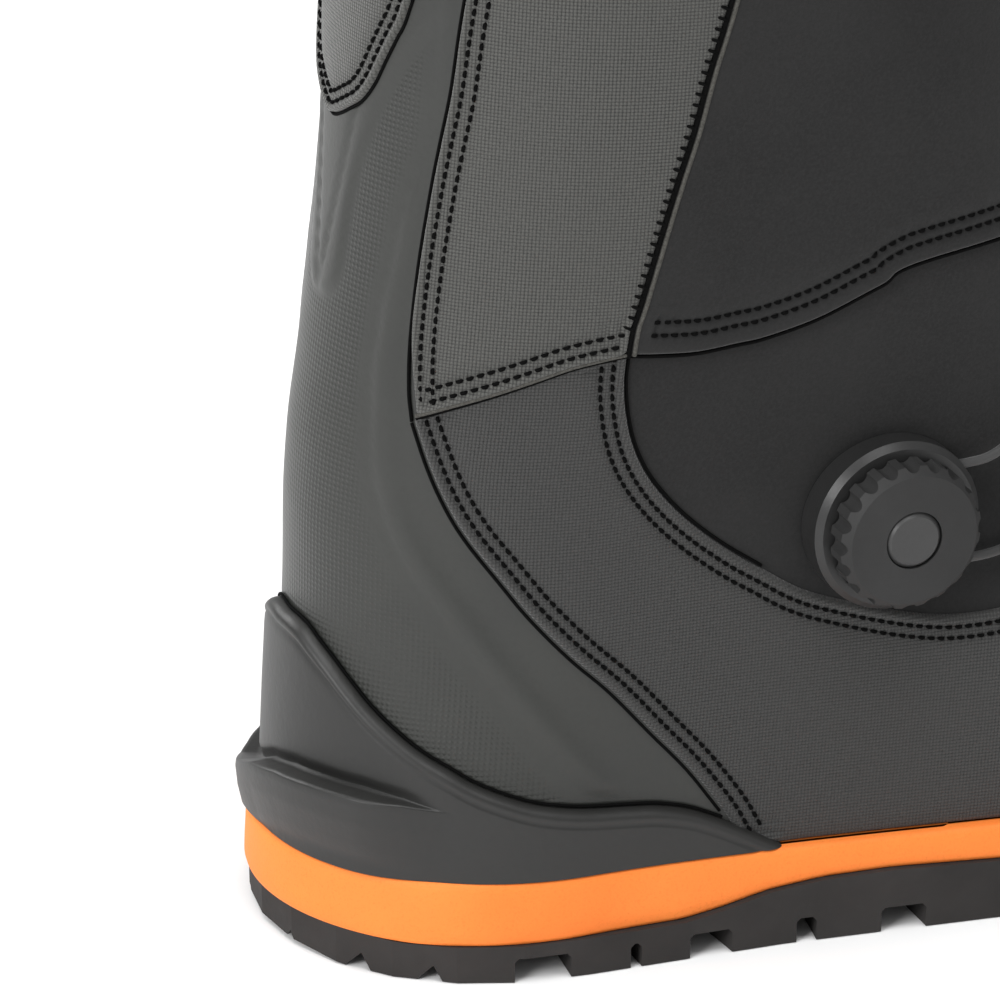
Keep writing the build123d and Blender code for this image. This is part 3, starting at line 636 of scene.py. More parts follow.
def skinlike(name, light, dark, rough=0.5, grain=900, depth=0.05, band=None, sheen=0.0):
    """Smooth moulded skin with fine grain; band is a mask that carries a field of fine bumps."""
    m = Nodes(name, light, rough, Specular_IOR_Level=0.45, Sheen_Weight=sheen)
    blotch = m.noise(22, 4)
    fine = m.noise(grain, 3)
    c = m.mix(m.ramp(blotch, 0.3, 0.7), dark, light)
    c = m.touch(c, fine, 0.45, 0.75, 0.25, tint(dark, 0.8))
    # painted highlight: lighter along the rolled edges
    c = m.paint_edge_highlight(c, 0.30, tint(light, 1.3))
    n = m.bump(fine, depth)
    if band:
        dots = m.mul(m.ramp(m.diamonds(2.1), -0.2, 0.8), m.mask(band))
        n = m.bump(dots, 0.08, 1.0, n)
        c = m.mix(m.mul(dots, 0.16), c, tint(dark, 0.72))
    return m.done(c, n, m.ramp(blotch, 0.3, 0.7, rough - 0.06, rough + 0.08))


def nubuck(name, light, dark, rough=0.85):
    m = Nodes(name, light, rough, Sheen_Weight=0.35, Sheen_Roughness=0.4, Specular_IOR_Level=0.2)
    blotch, fibre = m.noise(30, 4), m.noise(1500, 5, 0.7)
    c = m.mix(m.ramp(blotch, 0.3, 0.7), dark, light)
    c = m.touch(c, fibre, 0.4, 0.7, 0.5, tint(light, 1.6))
    # painted highlight: lighter along the rolled edges
    c = m.paint_edge_highlight(c, 0.35, tint(light, 1.7))
    return m.done(c, m.bump(fibre, 0.10, 0.7))


def foam(name, light, dark):
    """Moulded foam: soft skin with fine pores and faint flow marks."""
    m = Nodes(name, light, 0.62, Subsurface_Weight=0.06, Subsurface_Radius=(1.0, 0.35, 0.1),
              Subsurface_Scale=0.002, Specular_IOR_Level=0.3)
    blotch, pores = m.noise(26, 4), m.noise(1900, 3, 0.65)
    cells = m.noise(900, kind="ShaderNodeTexVoronoi")
    c = m.mix(m.ramp(blotch, 0.3, 0.7), dark, light)
    c = m.touch(c, pores, 0.52, 0.72, 0.45, tint(dark, 0.80))
    return m.done(c, m.bump(cells, 0.05, 0.4, m.bump(pores, 0.08, 0.8)), m.ramp(blotch, 0.3, 0.7, 0.55, 0.70))


def rubber(name, light, dark, rough=0.7, grain=700):
    m = Nodes(name, light, rough, Specular_IOR_Level=0.35)
    blotch, fine, dust = m.noise(30, 4), m.noise(grain, 4), m.noise(90, 6, 0.7)
    c = m.mix(m.ramp(blotch, 0.3, 0.7), dark, light)
    c = m.touch(c, dust, 0.55, 0.75, 0.30, tint(light, 1.5))
    return m.done(c, m.bump(fine, 0.06), m.ramp(dust, 0.3, 0.7, rough - 0.05, min(rough + 0.12, 1)))


def braid(name, light, dark, pitch=1.6):
    m = Nodes(name, light, 0.7, Sheen_Weight=0.3)
    w = m.diamonds(pitch)
    return m.done(m.mix(m.ramp(w, -0.6, 0.6), dark, light), m.bump(w, 0.15))


def knit(name, light, dark, cell=1.4):
    m = Nodes(name, light, 0.9, Sheen_Weight=0.5, Sheen_Roughness=0.5, Specular_IOR_Level=0.2)
    a, b = m.waves(cell)
    w = m.math("ADD", m.sine(m.math("ADD", a, m.mul(m.sine(b), 0.9))), m.mul(m.sine(b), 0.5))
    fuzz = m.noise(1400, 4, 0.7)
    c = m.touch(m.mix(m.ramp(w, -1, 1), dark, light), fuzz, 0.45, 0.7, 0.35, tint(light, 1.6))
    return m.done(c, m.bump(fuzz, 0.06, 0.6, m.bump(w, 0.16, 0.8)))


def thread(name, light, dark):
    m = Nodes(name, light, 0.9, Specular_IOR_Level=0.08)
    fibre = m.noise(2500, 3)
    return m.done(m.mix(m.ramp(fibre, 0.3, 0.7), dark, light), m.bump(fibre, 0.1))


def plain_metal(name, color, rough=0.35):
    m = Nodes(name, color, rough, Metallic=1.0)
    fine = m.noise(500, 4)
    return m.done(None, m.bump(fine, 0.02), m.ramp(fine, 0.3, 0.7, rough - 0.06, rough + 0.12))


M_WOVEN = woven("woven", lin(76, 76, 73), lin(31, 31, 30), pitch=0.68)
M_WOVEN_LOW = woven("woven_lower", lin(57, 57, 56), lin(20, 20, 20), pitch=0.68)
M_DARK = nubuck("nubuck", lin(34), lin(26))
M_STAY = skinlike("backstay", lin(49, 50, 47), lin(39, 40, 38), 0.41, band="band")
M_COUNTER = skinlike("counter", lin(39, 39, 38), lin(31, 31, 30), 0.45, grain=600, depth=0.06)
M_ORANGE = foam("foam", lin(249, 140, 62), lin(243, 126, 50))
M_SOLE = rubber("sole", lin(49, 46, 45), lin(36, 34, 33), 0.72)
# near-black: real stitching thread, and painted shadow in the cords along the seams' edges
M_THREAD_AND_SHADOW = thread("thread", lin(9), lin(4))
# light cord colour: real piping along the cuff's seam, and a painted highlight on the ankle seam's rolled rim
M_PIPING_AND_HIGHLIGHT = thread("piping", lin(88, 87, 83), lin(62, 61, 58))
M_TRIM = skinlike("trim", lin(42), lin(32), 0.5, grain=700)
M_TONGUE = woven("tongue", lin(50), lin(22), pitch=1.3, depth=0.12)
M_LINER = knit("liner", lin(44, 44, 46), lin(24, 24, 25))
M_LINING = knit("lining", lin(52, 52, 54), lin(28, 28, 29), 1.0)
M_SHELL = woven("shell_cloth", lin(38), lin(18), pitch=0.9)
M_LACE = braid("lace", lin(66), lin(30))
M_PLASTIC = skinlike("hard_plastic", lin(42), lin(34), 0.38, grain=1200, depth=0.02)
M_KNOB = rubber("knob", lin(46), lin(34), 0.62)
M_CAP = skinlike("cap", lin(58), lin(48), 0.4, grain=1200, depth=0.02)
M_WEB = braid("webbing", lin(52), lin(26), 1.1)
M_STEEL = plain_metal("steel", lin(180))
M_BOARD = rubber("board", lin(110, 104, 92), lin(84, 80, 70), 0.85)

KEPT = {
    "outsole": M_SOLE, "shank": M_STEEL, "lasting_board": M_BOARD, "liner_sole": M_LINER,
    "lower_lace_keeper": M_TRIM, "lower_lace": M_LACE,
}
DIAL = {"seat": M_PLASTIC, "spool": M_PLASTIC, "knob": M_KNOB, "cap": M_CAP, "screw": M_STEEL}
KEPT |= {f"{zone}_dial_{part}": material for zone in ("upper", "lower") for part, material in DIAL.items()}
for node, material in KEPT.items():
    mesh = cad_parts[node].data
    mesh.materials.clear()
    mesh.materials.append(material)

# ------------------------------------------------------------------ seam lines: length round the back, height
EDGE_A = [(42, 268.5), (38.5, 240), (35.2, 214), (32.2, 191), (30.9, 176), (29.5, 166), (28.3, 156.5),
          (27, 141.5), (26.7, 127.5), (27.5, 117), (28.8, 111)]
EDGE_A_LOW = [(28.8, 111), (33.1, 102), (37.1, 94.5), (41, 88.5), (47.2, 80.5), (52.9, 73), (60.9, 64),
              (69.6, 55.5), (78.5, 46), (86.4, 37.5), (93.8, 28), (98, 21)]
SEAM_B = [(29.3, 112.3), (36, 115.3), (43.4, 118.4), (50, 121.2), (56.5, 123.8), (63, 125.3), (66.4, 125.8)]
SEAM_B2 = [(66.4, 125.8), (72, 125.2), (80, 124.5), (88, 125), (93.6, 125.5), (104, 128), (116, 133)]
EDGE_C = [(66.4, 125.8), (66.8, 131.5), (67.7, 135.5), (70.4, 149.5), (72.6, 160), (74.9, 170), (77, 181.5),
          (79.3, 191.5), (84, 215), (88, 240), (91, 274)]
EDGE_D = [(66.6, 128), (66.6, 124), (66.7, 119.5), (67.7, 113.5), (69.8, 107), (73.2, 100.5), (77.8, 94.2),
          (83.6, 88), (90.6, 82), (98.2, 76.6)]
EDGE_E = [(34, 262), (30, 225), (26.5, 195), (26.2, 167), (23.9, 159.5), (21.1, 149.5), (19.7, 139.5),
          (18.4, 133), (18.1, 126.5), (17.7, 119.5), (19.2, 107), (21.6, 96), (26.6, 84.5), (33.4, 74.5),
          (44.1, 60), (57, 44), (66.6, 33), (79.5, 20)]
SHIELD = [(29.5, 200), (28.4, 190), (23, 183.5), (17.5, 174.5), (13.4, 166.5), (10, 156.5), (8.3, 147.5),
          (7.5, 138), (6.2, 132.5), (3.4, 129.5), (0, 128.8)]
SHIELD_LOW = 125
PATCH_H = [(34, 266.5), (30, 235), (24.5, 205), (20.3, 188.5), (18.1, 183.5), (15.7, 178.5), (13.3, 173.5),
           (10.3, 169.5), (6.8, 167), (3.2, 164.8), (0, 163.6)]
COUNTER = [(0, 64.6), (2.8, 64.7), (5.2, 64.5), (7.6, 63.9), (10.3, 62.4), (14.7, 59.6), (19.1, 56),
           (23.9, 52), (29.1, 48.2), (34.3, 44.8), (39.7, 41.9), (44.7, 39.1), (52.7, 35.8), (58, 34.2),
           (66, 32.6), (74.6, 31.6), (80.6, 30.8), (87.2, 29), (93.8, 26), (101.5, 22), (106, 19.6)]


def mirror(points):
    return [(-a, b) for a, b in points]


def on(side, line, ds=0.0, dz=0.0):
    """The line, moved by ds and dz, for the lateral side, or its mirror image."""
    return [(side * (s + ds), z + dz) for s, z in line]


def sided(side, *chains):
    return outline(*(on(side, c) for c in chains))


def side_line(points):
    """A side view line of x and z as length round the back and height."""
    return [(s_of_x(x, z), z) for x, z in points]


def rim_line(a, b, n=9, drop=0.0):
    """Along the collar between two lengths round the back."""
    s = np.linspace(a, b, n)
    z = np.full(n, 280.0)
    for _ in range(6):
        z = collar(base(s, z)[:, 0]) - drop
    return list(zip(s.tolist(), z.tolist()))


def throat_line(z0, z1, extra=0.0, n=10):
    """Along the throat's lateral edge, as length round the back."""
    return [(float(reach(z)[0] - throat(z) - extra), float(z)) for z in np.linspace(z0, z1, n)]


def feather_line(x0, x1, n=14, lift=0.0):
    return side_line([(x, float(line_at(FEATHER, x)) + lift) for x in np.linspace(x0, x1, n)])


# ------------------------------------------------------------------ sole
def between(t, lift=0.0):
    """Height at every x, t of the way up from the outsole's top to the feather line."""
    return lambda x: line_at(FEATHER, x) * t + line_at(SOLE_LINE, x) * (1 - t) + lift


def midsole():
    """The foam through level contours. Each row gives rear and side growth and a height for every x."""
    rows = [
        (6.2, 4.4, between(0, 0.05)), (6.6, 4.8, between(0, 0.2)), (6.8, 5.0, between(0, 0.9)),
        (6.7, 4.9, between(0.3)), (6.5, 4.5, between(0.6)), (6.4, 4.1, between(0.85)),
        (6.2, 3.8, between(1, -0.5)), (5.8, 3.4, between(1, -0.12)), (5.0, 2.8, between(1)),
        (1.0, 1.0, between(1)),
    ]
    half = 130
    n = 2 * half
    u = 1 - np.abs(1 - np.arange(n) / half)
    side = np.where(np.arange(n) <= half, -1, 1)
    levels = []
    for rear_off, side_off, height in rows:
        p = at_share(u, np.full(n, 20.0), side, rear_off, side_off)
        p[:, 2] = height(p[:, 0])
        levels.append(p)
    faces = quads(len(rows), n, True, True)
    for first in (0, (len(rows) - 1) * n):
        for i in range(half):
            quad = [first + j for j in dict.fromkeys((i, i + 1, (n - i - 1) % n, (n - i) % n))]
            faces.append(tuple(quad if first else quad[::-1]))
    p = np.vstack(levels)
    mesh_piece("midsole_foam", p, faces, M_ORANGE, "lower_boot", uv=p[:, :2] / 10,
               replaces=("midsole",))


midsole()


# ------------------------------------------------------------------ inner layers
def ring_outline(edge, low, high, step):
    """edge: lateral end line, from low to high; low and high: lines from the back centre to the front."""
    return outline(low, edge, high[::-1], mirror(high), mirror(edge[::-1]), mirror(low[::-1]), step=step)


def wall(name, z_low, w, top_drop, middle, half, material, replaces):
    """A padded layer round the back, open at the front where w gives its distance from the centre line."""
    edge = [(float(reach(z)[0] - w(z)), float(z)) for z in np.linspace(z_low, 290.0 - top_drop, 12)]
    top = rim_line(0, edge[-1][0], 15, top_drop)
    edge[-1] = top[-1]
    low = [(s, z_low) for s in np.linspace(0, edge[0][0], 20)]
    edge[0] = low[-1]
    ring = ring_outline(edge, low, top, 3.0)
    pad(name, ring, material, "soft", middle, half, grid=6.0, rounding=half, replaces=replaces)


# the shell that the panels are sewn to: a closed foot part and a leg part open at the lacing throat
def shell_piece():
    """Lasted cloth: the foot part closes over the toes, above it the throat is open."""
    heights = np.concatenate([np.arange(20.4, 100, 3.0), np.arange(100, 268, 4.0)])
    rows = []
    for z in heights:
        gap = float(throat(z)) if z > 100 else 0.02
        rows.append(np.concatenate([np.linspace(gap - reach(z, 1)[0], 0, 75),
                                    np.linspace(0, reach(z)[0] - gap, 75)[1:]]))
    s, z = np.array(rows).ravel(), np.repeat(heights, 149)
    p = np.vstack([skin(s, z, -0.35), skin(s, z, -2.6)])
    mesh_piece("upper_shell_cloth", p, slab(len(rows), 149), M_SHELL, "soft",
               uv=np.tile(np.stack([s, z], 1), (2, 1)) / 10,
               replaces=("foot_shell", "cuff_shell", "ankle_gusset"))


shell_piece()

# padded collar lining, inner boot and its tongue
wall("collar_lining", 128, lambda z: throat(z) + 6, 3.0, -5.2, 2.2, M_LINING,
     ("cuff_lining",))
wall("inner_boot_cuff", 122, lambda z: 21.5 + (z - 180) * 0.012, -13.0, -12.3, 4.2, M_LINER,
     ("liner_cuff", "liner_flex_zone"))


def foot_liner():
    edge = [(float(reach(z)[0]) - 0.6, float(z)) for z in np.linspace(26.5, 121, 16)]
    low = [(s, 26.5) for s in np.linspace(0, edge[0][0], 24)]
    top = [(s, 121.0) for s in np.linspace(0, edge[-1][0], 12)]
    pad("inner_boot_foot", ring_outline(edge, low, top, 4.0), M_LINER, "soft", -7.5, 2.4,
        grid=8, rounding=2.4, replaces=("liner_foot",))


foot_liner()


def footbed():
    """A dished insole with a raised rim."""
    rows, cols = 17, 60
    u = np.linspace(0, 1, cols)
    lateral, medial = (at_share(u, np.full(cols, 26.0), side, -11.5, -11.0) for side in (-1, 1))
    t = np.linspace(0, 1, rows)[:, None]
    top = lateral * (1 - t[..., None]) + medial * t[..., None]
    x = top[..., 0]
    arch = 3.0 * np.exp(-((x + 25) / 45) ** 2) * smooth((t - 0.5) * 2)
    rise = (2 * np.abs(t - 0.5)) ** 3 * 2.4 + arch - 0.6 * np.exp(-((x + 100) / 25) ** 2)
    low = top.copy()
    top[..., 2] = line_at(FEATHER, x) + 9.6 + rise
    low[..., 2] = line_at(FEATHER, x) + 6.8
    p = np.vstack([top.reshape(-1, 3), low.reshape(-1, 3)])
    mesh_piece("footbed_cloth", p, slab(rows, cols, False), M_LINING, "lower_boot",
               uv=p[:, :2] / 10, replaces=("footbed",))


footbed()

# ------------------------------------------------------------------ backstay: ridge, fine bumped band, shield
def lookup(line, z):
    """Length of a line at a height, for lines that rise or fall all the way."""
    q = spline(line, 0.8)
    q = q[np.argsort(q[:, 1])]
    return np.interp(z, q[:, 1], q[:, 0])


def stay_side(p):
    """Distance to the ridge, positive behind it, and the distance inside the shield."""
    a = np.stack([np.abs(p[:, 0]), p[:, 1]], 1)
    ridge = line_gap(a, spline(EDGE_E, 0.8)) * np.where(a[:, 0] < lookup(EDGE_E, a[:, 1]), 1, -1)
    ring = np.vstack([[(34, 290)], spline([(36, 262), (33, 232)] + SHIELD, 1.0)])
    within = inside(a, np.vstack([ring, [(-1, 128.8), (-1, 290), (0, 290)]]))
    return ridge, line_gap(a, ring, True) * np.where(within, 1, -1)


def stay_relief(p, dist):
    ridge, shield = stay_side(p)
    step = (0.3 * smooth((ridge + 0.5) / 0.9) - 0.35 * smooth((ridge + 5.0) / 5.0)
            + 0.9 * np.exp(-((ridge + 3.4) / 3.0) ** 2))
    raised = 0.55 * smooth((shield + 0.5) / 1.8) - 0.12 * np.exp(-((shield + 0.9) / 0.6) ** 2)
    return step * smooth((dist - 5.5) / 3.5) + raised * (p[:, 1] > SHIELD_LOW)


def stay_masks(p, dist):
    ridge, shield = stay_side(p)
    outside = np.where(p[:, 1] > SHIELD_LOW, smooth((-shield - 0.3) / 2.0), 1)
    return {"band": smooth((ridge - 1.0) / 3.5) * outside}


def stay_piece():
    """The backstay runs on under the panels and the counter that are sewn over its edges."""
    under = 5.0
    right = on(1, EDGE_A[-2::-1], under)
    low = on(1, EDGE_A_LOW[::-1], under * 0.8, 1.5)
    counter = on(1, [q for q in COUNTER if q[0] <= 84], dz=-4)
    top = rim_line(0, 42 + under, 7, 0.5)
    join = [counter[-1], (90, 23), (98, 19.8), low[0]]
    lateral = (counter, join, low, [low[-1], right[0]], right[:-1] + [top[-1]], top[::-1])
    lateral = [spline(c, 1.5) for c in lateral]
    half = np.vstack([c[:-1] for c in lateral[:-1]] + [lateral[-1]])
    ring = np.vstack([half, half[-2:0:-1] * (-1, 1)])
    panel("backstay_skin", ring, M_STAY, "soft", 0.0, 0.75, grid=1.4, roll=0.5,
          relief=stay_relief, masks=stay_masks, replaces=("backstay_lower", "backstay_upper"))


stay_piece()

# ------------------------------------------------------------------ sewn panels
SIDES = ((1, "lateral"), (-1, "medial"))
PATCH_FRONT = [(-48, 69), (-22, 62), (2, 66), (18, 80), (26, 98), (30, 118), (24, 134)]
SEAM_B3 = [(116, 133), (128, 137.5), throat_line(146, 147, n=2)[0]]


for side, tag in SIDES:
    # lower dark ankle patch, recessed under the woven quarter
    patch_front = side_line(PATCH_FRONT)
    hidden = on(1, EDGE_D, -6.0, -3.6)
    corner = on(1, patch_front[:1], -3, -5)
    front_end = patch_front[-1]
    ring = sided(side, hidden, [hidden[-1]] + corner,
                 corner + on(1, patch_front[1:4], 4, -5) + on(1, patch_front[4:], 6),
                 [(front_end[0] + 6, front_end[1]), (front_end[0] + 3, 146), (120, 141), (108, 135.5),
                  (96, 130.5), (84, 129), hidden[0]])
    panel(f"ankle_patch_{tag}", ring, M_DARK, "soft", 0.0, 0.45,
          replaces=(f"{tag}_ankle_patch",))
    # woven quarter
    front_edge = side_line([(46, 19.2), (48, 40), (54, 70), (60, 100), (62, 110)])
    t_edge = throat_line(112, 146)
    feather = feather_line(-60, 46, 12, 0.2)
    above = (front_end[0], front_end[1] + 10)
    ring = sided(side,
                 EDGE_A_LOW,
                 [EDGE_A_LOW[-1]] + [q for q in feather if q[0] > 99.5],
                 [feather[-1]] + front_edge[1:] + [t_edge[0]],
                 t_edge,
                 [t_edge[-1], above],
                 [above] + patch_front[::-1] + EDGE_D[::-1],
                 [EDGE_D[0], (60, 127.5), (50, 124.5), (40, 120.5), (30, 115.5), EDGE_A_LOW[0]])
    panel(f"quarter_{tag}", ring, M_WOVEN_LOW, "soft", 0.35, 1.45, grooves=(2.4, 4.6),
          sewn=(EDGE_A_LOW, EDGE_D + patch_front[:-1]), replaces=(f"{tag}_quarter",))
    # woven cuff panel
    top_a = rim_line(42, 91, 7, 0.3)
    ring = sided(side, [(29.3, 112.3)] + EDGE_A[::-1][2:-1] + [top_a[0]], top_a,
                 [top_a[-1]] + EDGE_C[::-1][1:], SEAM_B[::-1])
    panel(f"cuff_panel_{tag}", ring, M_WOVEN, "soft", 0.7, 2.3, grooves=(2.2, 4.6),
          sewn=(EDGE_A, SEAM_B), replaces=(f"{tag}_cuff_panel",))
    # dark front of the cuff
    t_edge = throat_line(147, 291, n=16)
    top_c = rim_line(91, t_edge[-1][0], 8, 0.3)
    t_edge[-1] = top_c[-1]
    ring = sided(side, SEAM_B2 + SEAM_B3[1:], [SEAM_B3[-1]] + t_edge[1:], top_c[::-1],
                 [top_c[0]] + EDGE_C[::-1][1:])
    panel(f"cuff_front_{tag}", ring, M_DARK, "soft", 0.7, 2.35, grooves=(4.2, 6.9),
          sewn=(SEAM_B2 + SEAM_B3[1:],), replaces=(f"{tag}_cuff_front",))

# rear woven patch of the cuff
top = rim_line(0, 34, 5, 0.3)
ring = outline(PATCH_H[:0:-1] + [top[-1]], top[::-1] + mirror(top[1:]), mirror([top[-1]] + PATCH_H[1:]))
panel("rear_cuff_patch_cloth", ring, M_WOVEN, "cuff", 1.0, 2.3, grooves=(2.0, 4.0),
      replaces=("rear_cuff_patch",))

# vamp and toe cap, laid out from the front centre line
def from_front(points):
    """A side view line of x and z as length from the front centre line, on the lateral side, and height."""
    return [(s - float(reach(z)[0]), z) for s, z in side_line(points)]


vamp_side = from_front([(40, 19.2), (44, 40), (50, 70), (55, 98), (56, 106)])
foot_f = np.linspace(vamp_side[0][0], 0, 24)
foot_z = line_at(FEATHER, base(front(foot_f, 19.0), np.full(24, 19.0))[:, 0]) + 0.2
foot = list(zip(foot_f.tolist(), foot_z.tolist()))
ring = outline([foot[0]] + vamp_side[1:], [vamp_side[-1], (-14, 110), (0, 101)],
               [(0, 101), (14, 110), (-vamp_side[-1][0], vamp_side[-1][1])],
               mirror(vamp_side[:0:-1] + foot[:1]), mirror(foot) + foot[::-1][1:])
panel("vamp_cloth", ring, M_WOVEN_LOW, "lower_boot", 0.2, 1.3, mode="front", grid=3.5,
      replaces=("vamp",))
cap_side = from_front([(50, 19.4), (70, 30), (86, 46), (96, 66), (99, 80)])
foot = [(f, z) for f, z in foot if f > cap_side[0][0]]
ring = outline(cap_side + [(-20, 89), (0, 91.5)], [(0, 91.5), (20, 89)] + mirror(cap_side)[::-1],
               mirror(foot) + foot[::-1][1:])
panel("toe_cap_rubber", ring, M_COUNTER, "lower_boot", 1.1, 3.0, mode="front", roll=1.8,
      replaces=("toe_cap",))


# ------------------------------------------------------------------ heel counter with the welt ledge
def counter_piece():
    cols = np.concatenate([-np.linspace(106, 0, 150), np.linspace(0, 106, 150)[1:]])
    q = spline(COUNTER, 0.6)
    edge = np.interp(np.abs(cols), q[:, 0], q[:, 1])
    lift = np.interp(cols, [-40, -26, -16, -8, 0, 8, 16, 24, 32, 41],
                     [-4.2, -7.6, -7.4, -4.4, -0.2, 2.0, 2.7, 2.8, 2.1, 0.2])
    floor = np.interp(np.abs(cols), [0, 60, 106], [20.3, 19.9, 19.3])
    # rows: the rolled rim, the wall down to the ledge's crest, the crest, and the skirt
    rim_foot = edge - np.minimum(3.2, 0.6 * (edge - floor))
    crest = np.minimum(34.1 + lift, rim_foot - 0.1 * (rim_foot - floor))
    under_crest = crest - np.minimum(0.36, 0.1 * (crest - floor))
    rows = [edge + (rim_foot - edge) * t for t in (0, 0.03, 0.08, 0.16, 0.27, 0.4, 0.55, 0.7, 0.85, 1)]
    rows += [rim_foot + (crest - rim_foot) * (1 - (1 - t) ** 1.7) for t in np.linspace(0, 1, 26)[1:]]
    rows += [crest + (under_crest - crest) * t for t in (0.33, 0.66, 1)]
    rows += [under_crest + (floor - under_crest) * t ** 1.3 for t in np.linspace(0, 1, 22)[1:]]
    z = np.array(rows)
    d = edge[None] - z
    t = np.clip(d / 1.9, 0, 1)
    off = 1.2 + 2.75 * np.sqrt(1 - (1 - t) ** 2) - 0.3 * np.exp(-((d - 2.7) / 0.45) ** 2)
    h = z - lift[None]
    fade = smooth((41.0 - np.abs(cols)) / 17.0)[None]
    fade = fade * np.interp(cols, [-34, -20, -8], [0.6, 0.65, 1.0])[None]
    under = smooth((34.1 - h) / 0.34) * np.interp(h, [20.0, 23.0, 28.5, 32.6, 33.6, 34.1],
                                                  [1.7, 2.8, 4.3, 4.9, 4.8, 4.5])
    gully = -0.9 * smooth((36.8 - h) / 2.6) * smooth((h - 33.9) / 0.2)
    off = off + fade * (under + gully)
    s = np.broadcast_to(cols, z.shape)
    p = skin(s, z, off)
    faces = quads(*z.shape, flip=True)
    uv = np.stack([s.ravel(), z.ravel()], 1) / 10
    # rim: where the painted highlight along the counter's rolled rim goes
    rim = np.clip(1 - d.ravel() / 2.4, 0, 1)
    mesh_piece("heel_counter_rubber", p, faces, M_COUNTER, "lower_boot", uv=uv,
               replaces=("heel_counter",), masks={"rim": rim})


counter_piece()


def seam(name, line, r, off, how="soft", material=None):
    """Dark cord of shadow and thread pressed into the foot of a seam."""
    q = spline(line, 1.2)
    tube(name, skin(q[:, 0], q[:, 1], np.full(len(q), off)), r, material or M_THREAD_AND_SHADOW, how, sides=8)


def tube(name, points, r, material, how, replaces=(), sides=12):
    q = spline(points, 0.9)
    t = unit(np.gradient(q, axis=0))
    up = np.cross(t[0], [0.3, 0.2, 1.0])
    angle = 2 * np.pi * np.arange(sides)[:, None] / sides
    rings = []
    for point, along in zip(q, t):
        up = up - along * (up @ along)
        up /= np.linalg.norm(up)
        rings.append(point + r * (up * np.cos(angle) + np.cross(along, up) * np.sin(angle)))
    uv = np.stack([np.repeat(run_along(q), sides), np.tile(angle[:, 0] * r, len(q))], 1) / 10
    return mesh_piece(name, np.vstack(rings), closed_tube(len(q), sides), material, how, uv=uv,
                      replaces=replaces)


seam("seam_rear_patch", on(-1, PATCH_H, dz=-0.25) + on(1, PATCH_H[-2::-1], dz=-0.25), 0.34, 1.35, "cuff")
# near-black cord along the counter's top edge: painted shadow of the gap under its rim
seam("counter_rim_shadow_line", on(-1, COUNTER[-3::-1], dz=0.5) + on(1, COUNTER[1:-2], dz=0.5), 0.3, 1.2,
     "lower_boot")
for side, tag in SIDES:
    seam(f"seam_backstay_{tag}", on(side, EDGE_A, -0.5), 0.34, 1.05)
    seam(f"seam_backstay_low_{tag}", on(side, EDGE_A_LOW[:-1], -0.5, -0.3), 0.3, 1.02)
    seam(f"seam_ankle_{tag}", on(side, SEAM_B + SEAM_B2[1:] + SEAM_B3[1:], dz=-0.35), 0.42, 1.5)
    # light cord along the ankle seam: painted highlight of the rolled rim
    seam(f"rim_highlight_ankle_{tag}", on(side, SEAM_B, dz=0.3), 0.42, 2.1, material=M_PIPING_AND_HIGHLIGHT)
    seam(f"piping_cuff_{tag}", on(side, EDGE_C[:-1], 1.1), 0.5, 2.1, "cuff", material=M_PIPING_AND_HIGHLIGHT)
    seam(f"seam_patch_{tag}", on(side, EDGE_D, 0.4, 0.3), 0.32, 0.7)
    seam(f"seam_cuff_{tag}", on(side, EDGE_C[:-1]), 0.5, 2.15, "cuff")

# ------------------------------------------------------------------ lacing throat: edge bands, tongue
def eyestay_band(wide=13, high=289):
    """The edge band round the throat."""
    zs = np.linspace(112, high, 20)
    inner = [(-float(throat(z)), float(z)) for z in zs]
    outer = on(1, inner, -wide)
    foot_in = [(-19, 112), (-15, 104.5), (-6, 100.4), (0, 100)]
    foot_out = [(-19 - wide, 112), (-24, 99), (-10, 92.5), (0, 91.5)]
    ring = outline(
        inner[::-1] + foot_in[1:] + mirror(foot_in[-2::-1]) + mirror(inner)[1:],
        mirror([inner[-1], outer[-1]]),
        mirror(outer[::-1] + foot_out[1:]) + foot_out[-2::-1] + outer[1:],
        [outer[-1], inner[-1]], step=1.4)
    panel("eyestay_band", ring, M_TRIM, "soft", 1.7, 3.0, mode="front", grooves=(1.8,),
          replaces=[f"{zone}_eyestay_{tag}" for zone in ("lower", "upper") for _, tag in SIDES])


eyestay_band()


def tongue_outline(z0, z1, gap, cap_round=0.0):
    zs = np.linspace(z0, z1, 14)
    left = [(gap - float(np.interp(z, [80, 100, 112, 320], [19, 19, 19.5, 27])), float(z)) for z in zs]
    w = -left[-1][0]
    top = [(-w, z1), (-w * 0.7, z1 + cap_round * 0.75), (0, z1 + cap_round), (w * 0.7, z1 + cap_round * 0.75),
           (w, z1)]
    return outline(mirror(left), top[::-1], left[::-1], [left[0], mirror(left)[0]], step=1.8)


def tongue_piece(name, z0, z1, how, replaces, quilts, round_top=0.0, lift=0.0):
    """A quilted part of the tongue, with a channel across it at each of the given heights."""
    def middle(p):
        channels = sum(np.exp(-((p[:, 1] - c) / 1.1) ** 2) for c in quilts)
        return lift - 3.2 - 0.9 * channels * np.clip((16 - np.abs(p[:, 0])) / 4, 0, 1)

    pad(name, tongue_outline(z0, z1, 1.0, round_top), M_TONGUE, how, middle, 2.0,
        mode="front", grid=2.6, rounding=3.0, replaces=replaces, crown=1.6)


